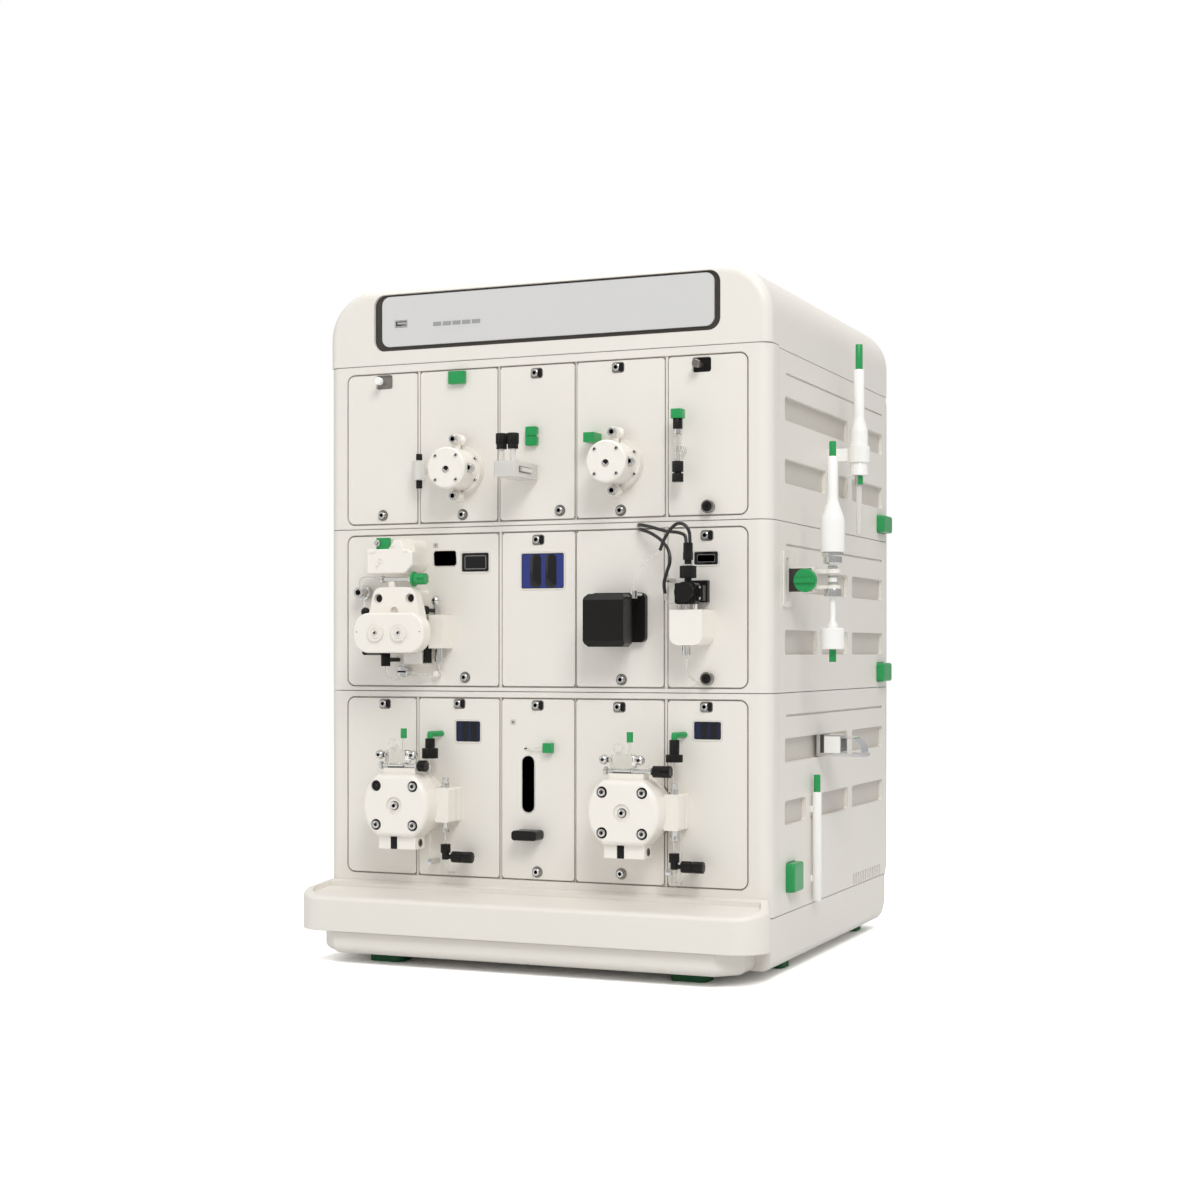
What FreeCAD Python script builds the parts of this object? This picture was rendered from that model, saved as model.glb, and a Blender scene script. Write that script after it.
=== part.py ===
"""Fast protein liquid chromatography system: a bench instrument of three module tiers.

X runs to the right, Y to the rear and Z up, in millimetres. The chassis is drawn with x and y zero at
its middle and z zero at the foot of the lower tier, and everything is moved at the end so that the
origin is under the middle of the whole object, on the bench.
"""
import FreeCAD, Part
import math
import os

# Chassis
CHASSIS_WIDTH = 440.0
CHASSIS_DEPTH = 400.0
LOWER_HEIGHT = 196.0
MIDDLE_HEIGHT = 152.0
UPPER_HEIGHT = 152.0
HEAD_HEIGHT = 73.5
LOWER_TOP = LOWER_HEIGHT
MIDDLE_TOP = LOWER_TOP + MIDDLE_HEIGHT
UPPER_TOP = MIDDLE_TOP + UPPER_HEIGHT
HEAD_TOP = UPPER_TOP + HEAD_HEIGHT
HEAD_RADIUS = 45.0
HEAD_FRONT_FILLET = 9.0
HEAD_SEAM_RISE = 2.0
BEZEL_DEPTH = 25.0
BEZEL_RADIUS = 12.0
SEAM = 0.5
SIDE_WALL = 8.0
DECK_WALL = 3.0
REAR_PLATE = 3.0

# Module bays
BAY_HALF_WIDTH = 200.0
BAY_RADIUS = 8.0
BAY_MARGIN = 1.3
POCKET_LEFT = 8.0
POCKET_RIGHT = 9.5
POCKET_HALF = 6.6
POCKET_DEPTH = 2.5
POCKET_RADIUS = 2.5
PANEL_THICKNESS = 4.0
PANEL_LEDGE = 4.0
PANEL_RADIUS = 3.0
SILL = 3.6
BROW = 5.7
LOWER_SILL = 23.7
MULLION_GAP = 0.8
MULLION_SINK = 0.5
UPPER_BAY_BOTTOM = MIDDLE_TOP + SILL
UPPER_BAY_TOP = UPPER_TOP - BROW
MIDDLE_BAY_BOTTOM = LOWER_TOP + SILL
MIDDLE_BAY_TOP = MIDDLE_TOP - BROW
LOWER_BAY_BOTTOM = LOWER_SILL
LOWER_BAY_TOP = LOWER_TOP - BROW
UPPER_BAYS = ((-198.7, -125.2), (-121.6, -42.3), (-39.3, 34.9), (37.5, 122.0), (125.7, 198.7))
MIDDLE_BAYS = ((-198.7, -41.3), (-37.2, 35.4), (37.1, 121.0), (125.4, 198.7))
LOWER_BAYS = ((-198.7, -126.5), (-123.1, -40.4), (-37.6, 34.5), (36.6, 121.3), (125.0, 198.7))

# Base, tray and feet
BASE_HEIGHT = 46.0
BASE_REAR_RADIUS = 25.0
BASE_EDGE = 8.0
TRAY_OVERHANG = 8.0
TRAY_HALF_WIDTH = CHASSIS_WIDTH / 2 + TRAY_OVERHANG
TRAY_REACH = 55.0
TRAY_CORNER = 30.0
TRAY_TOP_BACK = 17.0
TRAY_TOP_FRONT = 6.0
TRAY_BOTTOM = -25.0
TRAY_FLARE = 25.0
TRAY_RIM = 9.0
TRAY_BRIM = 4.0
TRAY_BASIN_DEPTH = 4.0
NOSE_INSET = 14.0
NOSE_HALF_WIDTH = CHASSIS_WIDTH / 2 - NOSE_INSET
NOSE_SETBACK = 6.0
NOSE_TAPER = 20.0
NOSE_GAP = 1.0
FOOT_LENGTH = 34.0
FOOT_WIDTH = 26.0
FOOT_HEIGHT = 10.0
FOOT_RADIUS = 6.0
FOOT_PLACES = ((150.0, -205.0), (188.0, -106.0), (185.0, 155.0))

# Side wall: rows of shallow windows, measured down from the top of each tier
WINDOW_FRONT = -157.7
WINDOW_REAR = 181.9
WINDOW_DEPTH = 4.0
WINDOW_RADIUS = 3.0
ROW_ONE = (41.0, 62.0)
ROW_TWO = (96.5, 118.0)
RIB_FRONT = 48.0
RIB_REAR = 64.5
ROW_TWO_RIBS = ((-28.0, 17.0), (-58.0, -42.0), (-94.0, -78.0))
GROOVE_DROP = 21.5
GROOVE_HEIGHT = 1.6
GROOVE_FRONT = -154.0
GROOVE_REAR = 180.0
VENT_FRONT = 69.0
VENT_REAR = 176.0
VENT_BOTTOM = 1.5
VENT_TOP = 11.6
VENT_SLATS = 12

# Head display
DISPLAY_LEFT = -171.0
DISPLAY_RIGHT = 174.0
DISPLAY_LIFT = 15.0
DISPLAY_HEIGHT = 53.0
DISPLAY_RADIUS = 11.0
DISPLAY_BOTTOM = UPPER_TOP + DISPLAY_LIFT
DISPLAY_TOP = DISPLAY_BOTTOM + DISPLAY_HEIGHT
DISPLAY_RECESS = 6.0
SURROUND_THICKNESS = 3.0
STRIP_LEFT = -163.0
STRIP_RIGHT = 168.0
STRIP_LIFT = 4.0
STRIP_HEIGHT = 47.0
STRIP_BOTTOM = DISPLAY_BOTTOM + STRIP_LIFT
STRIP_TOP = STRIP_BOTTOM + STRIP_HEIGHT
STRIP_THICKNESS = 2.0
STRIP_RADIUS = 8.0
USB_X = -143.0
USB_Z = STRIP_BOTTOM + 21.0
USB_WIDTH = 12.5
USB_HEIGHT = 6.2
USB_DEPTH = 12.0
USB_SHELL = 0.8
LIGHT_FIRST_X = -104.8
LIGHT_PITCH = 10.05
LIGHT_COUNT = 5
LIGHT_Z = STRIP_BOTTOM + 18.8
LIGHT_WIDTH = 8.0
LIGHT_HEIGHT = 3.3
LIGHT_RISE = 0.6

# Release latches on the right wall
LATCH_PROUD = 8.0
LATCH_TRAVEL = 2.5
LATCH_GAP = 0.4
LATCH_SHANK = 3.0
LATCH_RADIUS = 3.0
LATCH_CROWN = 2.0
UPPER_LATCH = (160.0, 194.0, 356.5, 374.0)
MIDDLE_LATCH = (159.0, 192.0, 202.0, 221.0)
LOWER_LATCH = (-155.0, -126.0, 18.0, 44.0)

# Rear
INLET_X = -150.0
INLET_Z = 40.0
INLET_WIDTH = 50.0
INLET_HEIGHT = 30.0
INLET_PROUD = 3.0
INLET_DEPTH = 24.0
INLET_MOUTH_WIDTH = 24.0
INLET_MOUTH_HEIGHT = 17.0
INLET_MOUTH_DEPTH = 18.0
INLET_LIP = 2.0
INLET_PIN_SINK = 3.0
INLET_PINS = ((-7.0, -3.0), (0.0, 3.0), (7.0, -3.0))
SWITCH_X = -100.0
SWITCH_WIDTH = 20.0
SWITCH_HEIGHT = 26.0
SWITCH_DEPTH = 9.0
SWITCH_PROUD = 1.5
SWITCH_GAP = 1.2
SWITCH_TILT = 6.0
SWITCH_PIN_RADIUS = 1.0
SWITCH_PIN_LENGTH = 0.9
SWITCH_DISH = 0.8
SWITCH_RIM = 1.5
FAN_X = 110.0
FAN_Z = 100.0
FAN_RADIUS = 42.0
FAN_HUB_RADIUS = 16.0
FAN_BLADES = 7
FAN_THICKNESS = 16.0
FAN_GAP = 2.0
FAN_PIN_RADIUS = 2.5
FAN_PITCH = 35.0
GUARD_WIRE = 1.2
GUARD_BOSS = 4.0
GUARD_RINGS = 4
DATA_X = -60.0
DATA_Z = 420.0
DATA_PITCH = 30.0
DATA_COUNT = 5
DATA_WIDTH = 15.0
DATA_HEIGHT = 13.0
DATA_DEPTH = 10.0
DATA_PROUD = 1.0
DATA_SHELL = 1.2
FIT_GAP = 0.3

# Socket screws, black captive knobs
SCREW_RADIUS = 3.4
SCREW_HEIGHT = 3.0
PANEL_SCREWS = (
    (-162.0, 360.7), (-78.3, 359.3), (-4.0, 486.3), (20.1, 360.4), (76.0, 487.0), (79.5, 358.8),
    (-75.8, 208.7), (-2.4, 334.4), (80.2, 207.4), (160.3, 334.7),
    (-160.6, 183.6), (-82.5, 184.4), (-3.0, 183.6), (77.3, 182.9), (159.8, 183.8),
    (-2.5, 31.8), (80.0, 33.7),
)
KNOB_RADIUS = 6.3
KNOB_HEIGHT = 12.0
CAPTIVE_KNOBS = ((156.0, 485.0, POCKET_DEPTH), (163.9, 359.7, 0), (163.1, 208.7, 0))
PALE_KNOB = (-161.0, 486.0)

# Rotary valves in the upper tier
VALVE_Z = 399.8
VALVE_X = (-78.0, 79.3)
VALVE_RING_RADIUS = 22.5
VALVE_RING_HEIGHT = 8.0
VALVE_RADIUS = 19.0
VALVE_FRONT = 35.0
VALVE_CHAMFER = 1.5
VALVE_SCREW_X = 10.4
VALVE_SCREW_Z = 11.0
VALVE_PORT_RADIUS = 3.5
VALVE_PORT_DROP = 1.7
VALVE_EAR_H = (8.0, 16.0)
VALVE_EAR_RADIUS = 5.4
VALVE_EAR_TOP = 27.5
VALVE_EAR_BOTTOM = 24.5
VALVE_EAR_NECK = 3.6
VALVE_CAP_RADIUS = 4.3
VALVE_CAP_FRONT = 21.0
VALVE_SIDE_X = 19.5
VALVE_SIDE_H = (17.0, 28.0)

# Block arm with twin nuts, and the rocker behind it
ARM_X = (-23.0, -1.0)
ARM_Z = (388.5, 402.3)
ARM_REACH = 50.0
ARM_RADIUS = 3.0
TWIN_X = (-17.5, -6.3)
TWIN_H = 43.0
TWIN_STEM_RADIUS = 2.6
TWIN_NUT_RADIUS = 5.4
TWIN_NUT_BOTTOM = 413.3
TWIN_NUT_TOP = 427.7
ROCKER_X = -6.4
ROCKER_Z = 428.6
ROCKER_WIDTH = 11.3
ROCKER_HEIGHT = 17.3
ROCKER_THICKNESS = 4.0
ROCKER_CROWN = 1.5
ROCKER_GAP = 0.6
ROCKER_PIN_RADIUS = 0.8
ROCKER_CHEEK = 1.0
ROCKER_PIN_H = 2.6
ROCKER_SPLIT = 0.4

# Inline cell and glass cell, both upright in a clip
CELL_CLIP_WIDTH = 7.0
INLINE_X = -118.0
INLINE_H = 10.0
INLINE_RADIUS = 6.5
INLINE_END_RADIUS = 2.8
INLINE_LEVELS = (384.0, 391.4, 409.7, 416.0)
GLASS_X = 139.5
GLASS_H = 14.0
GLASS_LEVELS = (381.1, 389.0, 399.4, 423.5, 428.0, 436.8, 445.2)
GLASS_TUBE_RADIUS = 3.0
GLASS_NUT_RADIUS = 5.0
GLASS_WAIST_RADIUS = 3.2
GLASS_COLLAR_RADIUS = 4.3
GLASS_CAP_RADIUS = 5.6

# Sample pump and mixer
MIXER_LEFT = -159.2
MIXER_RIGHT = -111.9
MIXER_BOTTOM = 304.2
MIXER_PLATE_HEIGHT = 22.7
MIXER_PEAK_RISE = 8.0
MIXER_SHOULDER = MIXER_BOTTOM + MIXER_PLATE_HEIGHT
MIXER_PEAK = MIXER_SHOULDER + MIXER_PEAK_RISE
MIXER_CORNER = 7.5
MIXER_PEAK_X = -127.5
MIXER_PLATE_FRONT = 36.0
MIXER_PLATE_BACK = 24.0
MIXER_BODY = (-151.0, -114.2)
MIXER_BODY_LIFT = 2.0
MIXER_BODY_RADIUS = 9.0
ARCH_MIDDLE = -128.0
ARCH_HALF_BOTTOM = 27.5
ARCH_HALF_TOP = 20.5
ARCH_TOP = 291.6
ARCH_BOTTOM = 262.5
ARCH_SHOULDER = 9.0
ARCH_FRONT = 40.0
ARCH_PLATE = 12.0
ARCH_BODY_HALF = 15.3
ARCH_NOTCH_RADIUS = 3.9
ARCH_NOTCH_Z = 269.5
ARCH_SOCKET_X = 16.4
ARCH_SOCKET_Z = 281.4
ARCH_SOCKET_RADIUS = 4.3
ARCH_SOCKET_DEPTH = 3.0
ARCH_POST_X = (-137.0, -131.0)
SAMPLE_X = -127.0
SAMPLE_Z = 249.5
SAMPLE_HALF_WIDTH = 36.4
SAMPLE_HALF_HEIGHT = 18.3
SAMPLE_CORNER = 16.0
SAMPLE_FRONT = 54.0
SAMPLE_PLATE = 14.0
SAMPLE_BODY_RADIUS = 17.0
SAMPLE_BOSS_X = 12.0
SAMPLE_BOSS_RADIUS = 7.9
SAMPLE_BOSS_RISE = 2.0
SAMPLE_BLOCK = (-102.0, -88.0, 235.4, 266.4)
SAMPLE_BLOCK_FRONT = 22.0
SAMPLE_BASE = (-129.0, -109.5, 221.0, 232.0)
SAMPLE_BASE_FRONT = 20.0
SAMPLE_STUB = (-101.6, 212.0)
SAMPLE_STUB_RADIUS = 3.0
SAMPLE_STUB_FRONT = 8.0
BAR_H = 33.0
PURGE_KNOB_RADIUS = 5.2
PURGE_GAP = 0.4
PURGE_PIN_RADIUS = 1.5
PURGE_PIN_LENGTH = 5.0
PURGE_FLUTES = 6
PURGE_FLUTE_RADIUS = 0.9
PURGE_FLANGE = 1.8
SAMPLE_FLANGE_RADIUS = 7.0
BAR_RADIUS = 2.0
SAMPLE_BAR = (-145.0, -112.4, -98.6, 299.0, BAR_RADIUS)

# Fittings round the sample pump: x, level, height above the panels
SIDE_FITTING = (-180.0, 288.0)
SIDE_FITTING_STEPS = ((7.0, 6.0), (5.4, 15.0))
BLACK_BALL_RADIUS = 4.2
BLACK_BALL_POST = 1.8
BLACK_BALLS = ((-166.3, 269.5, 25.0), (-105.0, 270.6, 22.0))
PALE_BALL = (-100.0, 279.5, 11.0)
PALE_BALL_RADIUS = 4.5
PALE_STEM_RADIUS = 2.2
DRAIN = (-97.0, 223.0, 3.4)
BLACK_DROP = (-106.1, 222.0, 240.0, 16.0, 3.8)
BLACK_FOOT = (-145.0, 219.0, 231.0, 25.0, 4.3)
BLACK_PEG = (-163.4, 232.0, 32.0, 2.8)
STEEL_KNOB = (-135.3, 213.9)
STEEL_KNOB_STEPS = ((4.4, 8.0), (5.8, 12.0))
GREEN_FLAG = (-151.5, -138.5, 337.6)
GREEN_FLAG_H = (27.0, 31.0)

# Thin clear tubes and black leads
TUBE_DIAMETER = 1.8
LEAD_DIAMETER = 3.0
LEAD_CLIP = (129.4, 132.6, 293.0, 297.0)
LEAD_CLIP_H = 23.0
TUBE_CLIP_HALF = 2.5
TUBE_CLIP_HEIGHT = 5.0
TUBE_CLIPS = ((-104.0, 36.0), (131.4, 36.0))
BAY_FITTING_H = 25.0
BAY_FITTING = (102.2, 279.0, 286.0, 3.2)

# Detector, flow cell stack and white block
DETECTOR_BOX = (59.9, 98.4, 236.6, 283.3)
DETECTOR_FRONT = 40.0
DETECTOR_CHAMFER = 5.5
DETECTOR_CORNER = 3.0
DETECTOR_COLLAR = (63.0, 95.0, 242.0, 276.0)
DETECTOR_COLLAR_FRONT = 20.0
DETECTOR_PLATE = (53.0, 105.7, 240.7, 284.9)
DETECTOR_PLATE_THICKNESS = 6.0
DETECTOR_RADIUS = 5.0
STACK_X = 153.5
STACK_H = 26.0
STACK_NECK_RADIUS = 3.2
STACK_NUT_RADIUS = 7.0
STACK_BODY = (143.2, 162.2, 273.6, 291.9)
STACK_BODY_FRONT = 32.0
STACK_FACE_RADIUS = 8.7
STACK_FACE_FRONT = 38.0
STACK_FACE_Z = 284.1
STACK_NUT_BOTTOM = 296.3
STACK_NUT_TOP = 306.8
STACK_NECK_TOP = 326.8
STACK_BRACKET_THICKNESS = 6.0
STACK_PLUG_RADIUS = 4.2
STACK_PLUG_BOTTOM = 312.0
STACK_EAR = (160.0, 167.5, 276.5, 290.0)
STACK_EAR_H = (20.0, 27.0)
CELL_NUT = (152.0, 229.5, 3.6)
WHITE_BLOCK = (138.3, 168.5, 237.8, 268.8)
WHITE_BLOCK_FRONT = 32.0
WHITE_BLOCK_KEEL = 8.0
PIN_RADIUS = 1.5
PIN_SPREAD = 7.0

# Pump heads of the lower tier
PUMP_X = (-124.9, 99.2)
PUMP_Z = 91.8
PUMP_RADIUS = 34.0
PUMP_HALF_HEIGHT = 28.6
PUMP_FRONT = 46.0
PUMP_BACK = 20.0
PUMP_FILLET = 5.0
PUMP_COLLAR_RADIUS = 30.0
PUMP_BORE_RADIUS = 8.0
PUMP_SHAFT_GAP = 0.5
PUMP_SCREW_X = 18.8
PUMP_SCREW_Z = 17.8
PUMP_SCREW_RADIUS = 4.8
PUMP_DISH_RADIUS = 7.7
PUMP_DISH_DEPTH = 1.5
PUMP_NECK_HALF = 16.4
PUMP_NECK_TOP = 33.9
PUMP_NECK_FRONT = 36.0
PUMP_FOOT_HALF = 19.0
PUMP_FOOT_BOTTOM = -40.3
PUMP_FOOT_FRONT = 40.0
PUMP_SLOT_LEFT = -6.6
PUMP_SLOT_DEPTH = 2.0
SIDE_BLOCK_LEFT = 31.3
SIDE_BLOCK_RIGHT = 45.7
SIDE_BLOCK_HALF = 15.9
SIDE_BLOCK_FRONT = 26.0
SIDE_PORT_X = 38.5
SIDE_PORT_H = 18.0
STEEL_NUT_RADIUS = 3.75
STEEL_NUT_LENGTH = 9.0
SIDE_SEAM_H = (10.5, 11.5)
SIDE_SEAM_DEPTH = 1.5
BLACK_NUT = (41.7, 55.8, 4.6)
BLACK_BODY = (45.7, 66.0, 44.2, 5.2)
BLACK_LINK_RADIUS = 2.0
BLACK_CLIP = (50.0, 58.0)
PUMP_BARS = ((-21.0, 18.9, 26.6), (-21.0, 24.7, 41.0))
PUMP_BAR_Z = 36.0
SADDLE = (-12.0, 4.0)
SADDLE_H = (26.0, 36.0)
MANIFOLD = (-15.0, 6.0, 38.0, 50.0)
MANIFOLD_H = (24.0, 36.0)
MANIFOLD_BALLS = ((-23.0, 45.5), (11.0, 45.5))
MANIFOLD_BALL_RADIUS = 4.5
MANIFOLD_STEM_RADIUS = 1.7
LOOP_X = -9.4
LOOP_RADIUS = 4.4
LOOP_WIRE = 1.1
LOOP_SINK = 0.3
CAP_X = 1.5
CAP_LEVELS = (50.0, 61.0, 70.0)
CAP_RADIUS = 2.85
CAP_STEM_RADIUS = 1.6
VALVE_FEED_H = 15.0
VALVE_FEEDS = ((-104.0, 134.0, 143.4, 152.4), (136.7, 135.4, 142.0, 155.0))
VALVE_FEED_RADII = (7.5, 4.5)
ELBOW_RADIUS = 2.75
ELBOW_RISE = 4.0
ELBOW_SWING = 4.5
MOTOR_RADIUS = 30.0
MOTOR_CLEAR = 1.0
MOTOR_LENGTH = 90.0

# Lower tier, bay three: slotted window and handle bar
STADIUM = (-16.7, -5.2, 86.1, 137.1)
STADIUM_DEPTH = 2.5
HANDLE_BAR = (-20.4, 4.3, 61.3, 70.3)
HANDLE_FRONT = 18.0
HANDLE_RADIUS = 3.0

# Window inserts: left, right, bottom, top
WINDOW_DEPTH_IN_PANEL = 1.5
WINDOW_SINK = 0.4
MIDDLE_WINDOWS = ((-106.5, -85.3, 312.7, 325.4), (-78.8, -51.3, 306.3, 323.5), (-17.9, 24.2, 290.0, 321.8),
                  (149.7, 171.7, 308.8, 320.2))
LOWER_WINDOWS = ((-84.8, -60.0, 149.3, 168.1), (149.5, 174.6, 155.1, 170.6))
WINDOW_CORNER = 1.5

# Green plugs and clips: left, right, bottom, top, front
GREEN_PLUGS = ((-90.5, -74.2, 480.3, 491.8, 5.0), (51.0, 61.3, 419.4, 428.0, 18.0),
               (5.7, 14.5, 140.6, 149.4, 6.0))
PLUG_RADIUS = 0.8

# Columns and holders on the right wall
COLUMN_ONE_X = 247.0
COLUMN_ONE_Y = -8.5
COLUMN_ONE_PROFILE = ((2.7, 344.5), (2.7, 390.3), (3.8, 390.3), (3.8, 399.9), (8.5, 399.9), (8.5, 440.4),
                      (5.0, 454.4), (5.0, 500.8), (3.45, 500.8), (3.45, 525.0))
COLUMN_ONE_CLIP_Z = (412.0, 428.0)
COLUMN_TWO_X = 260.0
COLUMN_TWO_Y = -144.8
COLUMN_TWO_PROFILE = ((3.15, 223.2), (3.15, 234.5), (10.6, 234.5), (10.6, 253.3), (5.0, 253.3), (5.0, 256.2),
                      (2.7, 259.4), (2.7, 281.3), (7.5, 281.3), (7.5, 287.9), (4.8, 287.9), (4.8, 309.9),
                      (8.4, 309.9), (8.4, 318.1), (10.8, 320.3), (10.8, 349.5), (4.6, 367.8), (4.6, 405.4),
                      (3.15, 405.4), (3.15, 418.8))
COLUMN_THREE_STANDOFF = 5.5
COLUMN_THREE_Y = -76.0
COLUMN_THREE_PROFILE = ((4.2, 2.0), (4.2, 102.8), (3.15, 102.8), (3.15, 118.8))
COLUMN_THREE_CLIPS = (20.0, 84.0)
CLIP_WALL = 2.5
CLAMP_SLOT = (-159.5, -153.5, 277.6, 315.6)
CLAMP_PLATE_MARGIN = 6.0
CLAMP_PLATE_THICKNESS = 2.0
CLAMP_TRAVEL = 8.0
CLAMP_GAP = 0.4
CLAMP_BLOCK = (-149.5, -136.0, 285.0, 307.0)
CLAMP_BLOCK_REACH = 24.0
CLAMP_STEM_RADIUS = 2.0
CLAMP_ARMS = ((287.9, 291.0), (301.5, 305.3))
CLAMP_ARM_WIDTH = 12.0
CLAMP_KNOB_Z = 295.3
CLAMP_KNOB_H = 19.0
CLAMP_KNOB_RADIUS = 10.5
CLAMP_KNOB_FRONT = -161.0
CLAMP_KNOB_DISC = 4.0
CLAMP_GRIP_HALF = 2.2
CLAMP_TURN_GAP = 0.4
CLAMP_GRIP_PROUD = 2.0
CLAMP_BORE = 4.8
HOOK_FRONT = -59.0
HOOK_REAR = -36.0
HOOK_REACH = 45.0
HOOK_PLATE_Z = (135.0, 138.0)
HOOK_BLOCK = (7.0, 23.0, 155.0)
HOOK_STRIP = (3.0, 7.0)
HOOK_STRAP_THICKNESS = 1.5
HOOK_STRAP_RADIUS = 15.0

# Where the whole is moved to
FRONT_Y = -CHASSIS_DEPTH / 2
REAR_Y = CHASSIS_DEPTH / 2
SIDE_X = CHASSIS_WIDTH / 2
COLUMN_TWO_RADIUS = max(radius for radius, level in COLUMN_TWO_PROFILE)
SHIFT_X = (TRAY_HALF_WIDTH - COLUMN_TWO_X - COLUMN_TWO_RADIUS) / 2
SHIFT_Y = (TRAY_REACH - INLET_PROUD) / 2
SHIFT_Z = BASE_HEIGHT + FOOT_HEIGHT
OUTER_PANEL_X = BAY_HALF_WIDTH - PANEL_LEDGE
LEAD_MEET = FreeCAD.Vector(128.3, FRONT_Y - 28.0, 320.9)
LEAD_END = FreeCAD.Vector(131.4, FRONT_Y - 24.0, 283.0)

Z_AXIS = FreeCAD.Vector(0, 0, 1)


def vec(x, y, z):
    return FreeCAD.Vector(x, y, z)


def front(height):
    """The y of a face that stands this far in front of the module panels."""
    return FRONT_Y - height


def box(x0, x1, y0, y1, z0, z1):
    """A box between two corners, whichever way round each pair is given."""
    corner = vec(min(x0, x1), min(y0, y1), min(z0, z1))
    return Part.makeBox(abs(x1 - x0), abs(y1 - y0), abs(z1 - z0), corner)


def rod_x(y, z, radius, x0, x1):
    return Part.makeCylinder(radius, abs(x1 - x0), vec(min(x0, x1), y, z), vec(1, 0, 0))


def rod_y(x, z, radius, y0, y1):
    return Part.makeCylinder(radius, abs(y1 - y0), vec(x, min(y0, y1), z), vec(0, 1, 0))


def rod_z(x, y, radius, z0, z1):
    return Part.makeCylinder(radius, abs(z1 - z0), vec(x, y, min(z0, z1)), Z_AXIS)


def turned(x, y, profile):
    """A solid of revolution about an upright axis, from radius and level pairs going up."""
    points = [vec(x, y, profile[0][1])]
    points.extend(vec(x + radius, y, level) for radius, level in profile)
    points.append(vec(x, y, profile[-1][1]))
    points.append(points[0])
    face = Part.Face(Part.makePolygon(points))
    return face.revolve(vec(x, y, 0), Z_AXIS, 360)


def fused(solids):
    """One solid from pieces that share faces or overlap."""
    whole = solids[0]
    for solid in solids[1:]:
        whole = whole.fuse(solid)
    return whole.removeSplitter()


def edges_where(shape, test):
    return [edge for edge in shape.Edges if test(edge)]


def runs_along(edge, axis):
    """True for a straight edge along the named axis."""
    if not isinstance(edge.Curve, Part.Line):
        return False
    direction = edge.tangentAt(edge.FirstParameter)
    return abs(abs(getattr(direction, axis)) - 1) < 1e-6


def round_block(x0, x1, y0, y1, z0, z1, radius, axis="y"):
    """A box with the four edges along one axis rounded."""
    block = box(x0, x1, y0, y1, z0, z1)
    return block.makeFillet(radius, edges_where(block, lambda edge: runs_along(edge, axis)))


def chamfered_front(solid, y, size):
    """The solid with every edge of its face at this y chamfered."""
    picked = edges_where(solid, lambda edge: abs(edge.BoundBox.YMin - y) < 1e-3 and abs(edge.BoundBox.YMax - y) < 1e-3)
    return solid.makeChamfer(size, picked)


def filleted_front(solid, y, size):
    """The solid with every edge of its face at this y rounded."""
    picked = edges_where(solid, lambda edge: abs(edge.BoundBox.YMin - y) < 1e-3 and abs(edge.BoundBox.YMax - y) < 1e-3)
    return solid.makeFillet(size, picked)


def outline_solid(points, y0, y1):
    """A plate whose outline lies in x and z, between two depths."""
    low = min(y0, y1)
    corners = [vec(x, low, z) for x, z in points]
    corners.append(corners[0])
    return Part.Face(Part.makePolygon(corners)).extrude(vec(0, abs(y1 - y0), 0))


def tube(points, diameter):
    """A round lead along straight runs joined by tangent arcs; prints the arc radii."""
    edges = []
    start = points[0]
    radii = []
    for before, corner, after in zip(points, points[1:], points[2:]):
        into = (corner - before).normalize()
        out = (after - corner).normalize()
        turn = into.getAngle(out)
        shorter = min((corner - before).Length, (after - corner).Length)
        setback = 0.45 * shorter
        radii.append(round(setback / math.tan(turn / 2), 1))
        first = corner - into * setback
        last = corner + out * setback
        toward = (out - into).normalize()
        sagitta = radii_middle(corner, toward, setback, turn)
        edges.append(Part.LineSegment(start, first).toShape())
        edges.append(Part.Arc(first, sagitta, last).toShape())
        start = last
    edges.append(Part.LineSegment(start, points[-1]).toShape())
    path = Part.Wire(edges)
    heading = (points[1] - points[0]).normalize()
    ring = Part.Wire(Part.Circle(points[0], heading, diameter / 2).toShape())
    solid = path.makePipeShell([ring], True, False)
    share = solid.Volume / (math.pi * diameter * diameter / 4 * path.Length)
    print("tube of", round(path.Length, 1), "radii", radii, "volume share", round(share, 4))
    return solid


def radii_middle(corner, toward, setback, turn):
    """The middle point of the arc that rounds a corner."""
    radius = setback / math.tan(turn / 2)
    reach = radius / math.cos(turn / 2) - radius
    return corner + toward * reach


def mirrored(shape):
    """The same shape on the left side."""
    return shape.mirror(vec(0, 0, 0), vec(1, 0, 0))


def span(y0, y1, gap_from, gap_to):
    """The two stretches of a window row on either side of a rib."""
    return ((y0, gap_from), (gap_to, y1))


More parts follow.
